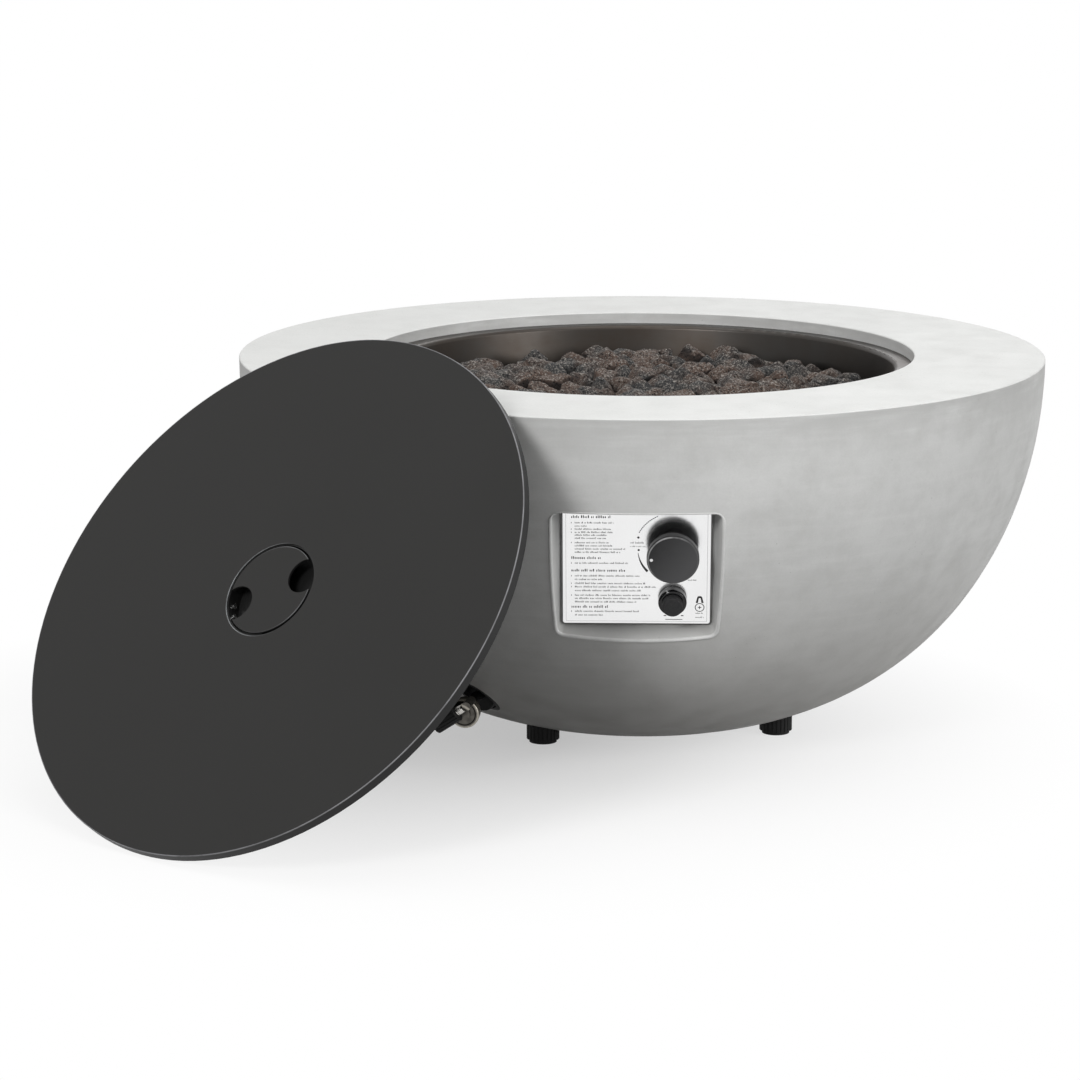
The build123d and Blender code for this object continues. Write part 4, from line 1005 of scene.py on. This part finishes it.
# Painted glow on the floor that lightens its shadow: the point it grows away from, its share near that point,
# and the distances over which it grows to full white
FLOOR_MIDDLE = (-0.25, -0.15, 0.0)
FLOOR_SHARE = 0.48
FLOOR_FADE = (0.15, 0.85)
FLOOR_DULL = 0.36
WORLD_LIGHT = 0.29
SENSOR_MM = 36.0

# Softboxes: name, place, point that it faces, size and power
SOFTBOXES = (
    ("top_box", (0.2, -0.2, 3.2), (0, 0, 0.3), 2.6, 36.0),
    ("key_box", (-2.2, -4.3, 2.6), (0, 0, 0.3), 1.3, 122.0),
    ("fill_box", (4.0, -2.2, 1.7), (0, 0, 0.3), 1.8, 84.0),
    ("back_box", (0.8, 4.4, 2.4), (0, 0, 0.25), 1.8, 22.0),
)


def seen_ray(tree):
    """A value of 1 for rays of the camera, mirrors and glass, and 0 for rays that carry light."""
    paths = tree.nodes.new("ShaderNodeLightPath")
    value = paths.outputs["Is Camera Ray"]
    for name in ("Is Glossy Ray", "Is Transmission Ray"):
        either = tree.nodes.new("ShaderNodeMath")
        either.operation = "MAXIMUM"
        tree.links.new(value, either.inputs[0])
        tree.links.new(paths.outputs[name], either.inputs[1])
        value = either.outputs[0]
    return value


def floor_look():
    """White floor that keeps the shadow where it is seen, lightened there by a painted glow that grows away
    from a point left of and in front of the table until the shadow fades out; it gives back little light from
    below.
    """
    look = Surface("floor", (0.95, 0.95, 0.95), 0.8, specular=0.1)
    tree = look.tree
    glow = look.node("ShaderNodeEmission")
    glow.inputs["Color"].default_value = (1, 1, 1, 1)
    # Painted glow: its share grows with distance from a point, fading the shadow out
    distance = look.vector_math("DISTANCE", look.place, FLOOR_MIDDLE, "Value")
    seen = look.node("ShaderNodeMixShader")
    look.feed(seen.inputs[0], look.span(distance, *FLOOR_FADE, FLOOR_SHARE, 1.0))
    tree.links.new(look.shader.outputs[0], seen.inputs[1])
    tree.links.new(glow.outputs[0], seen.inputs[2])
    dull = look.node("ShaderNodeBsdfDiffuse")
    dull.inputs["Color"].default_value = (FLOOR_DULL, FLOOR_DULL, FLOOR_DULL, 1)
    either = look.node("ShaderNodeMixShader")
    look.feed(either.inputs[0], seen_ray(tree))
    tree.links.new(dull.outputs[0], either.inputs[1])
    tree.links.new(seen.outputs[0], either.inputs[2])
    tree.links.new(either.outputs[0], tree.nodes["Material Output"].inputs["Surface"])
    return look.material


def softbox(name, place, aim, size, power):
    """A square lamp that faces a point."""
    lamp = bpy.data.lights.new(name, "AREA")
    lamp.shape = "RECTANGLE"
    lamp.size = lamp.size_y = size
    lamp.energy = power
    made = bpy.data.objects.new(name, lamp)
    made.location = place
    made.rotation_euler = (Vector(aim) - Vector(place)).to_track_quat("-Z", "Y").to_euler()
    bpy.context.scene.collection.objects.link(made)


def lay_floor():
    """A wide floor at the feet of the table."""
    mesh = bpy.data.meshes.new("floor")
    size = FLOOR_SIZE
    corners = [(-size, -size, 0), (size, -size, 0), (size, size, 0), (-size, size, 0)]
    mesh.from_pydata(corners, [], [(0, 1, 2, 3)])
    floor = bpy.data.objects.new("floor", mesh)
    bpy.context.scene.collection.objects.link(floor)
    mesh.materials.append(floor_look())


def surround():
    """White surroundings where they are seen, and softer light from them."""
    world = bpy.data.worlds.new("studio")
    bpy.context.scene.world = world
    world.use_nodes = True
    tree = world.node_tree
    background = tree.nodes["Background"]
    white = tree.nodes.new("ShaderNodeBackground")
    white.inputs["Color"].default_value = (1, 1, 1, 1)
    white.inputs["Strength"].default_value = 1.0
    background.inputs["Color"].default_value = (1, 1, 1, 1)
    background.inputs["Strength"].default_value = WORLD_LIGHT
    mixed = tree.nodes.new("ShaderNodeMixShader")
    tree.links.new(seen_ray(tree), mixed.inputs[0])
    tree.links.new(background.outputs[0], mixed.inputs[1])
    tree.links.new(white.outputs[0], mixed.inputs[2])
    tree.links.new(mixed.outputs[0], tree.nodes["World Output"].inputs["Surface"])


def set_camera():
    """The camera of the photograph."""
    camera = bpy.data.cameras.new("camera")
    camera.lens = LENS_MM
    camera.sensor_width = SENSOR_MM
    holder = bpy.data.objects.new("camera", camera)
    holder.location = CAMERA_PLACE
    holder.rotation_euler = (math.pi / 2 - CAMERA_PITCH, 0, CAMERA_YAW)
    bpy.context.scene.collection.objects.link(holder)
    bpy.context.scene.camera = holder
    bpy.context.scene.view_settings.view_transform = "Standard"


lay_floor()
surround()
for box in SOFTBOXES:
    softbox(*box)
set_camera()
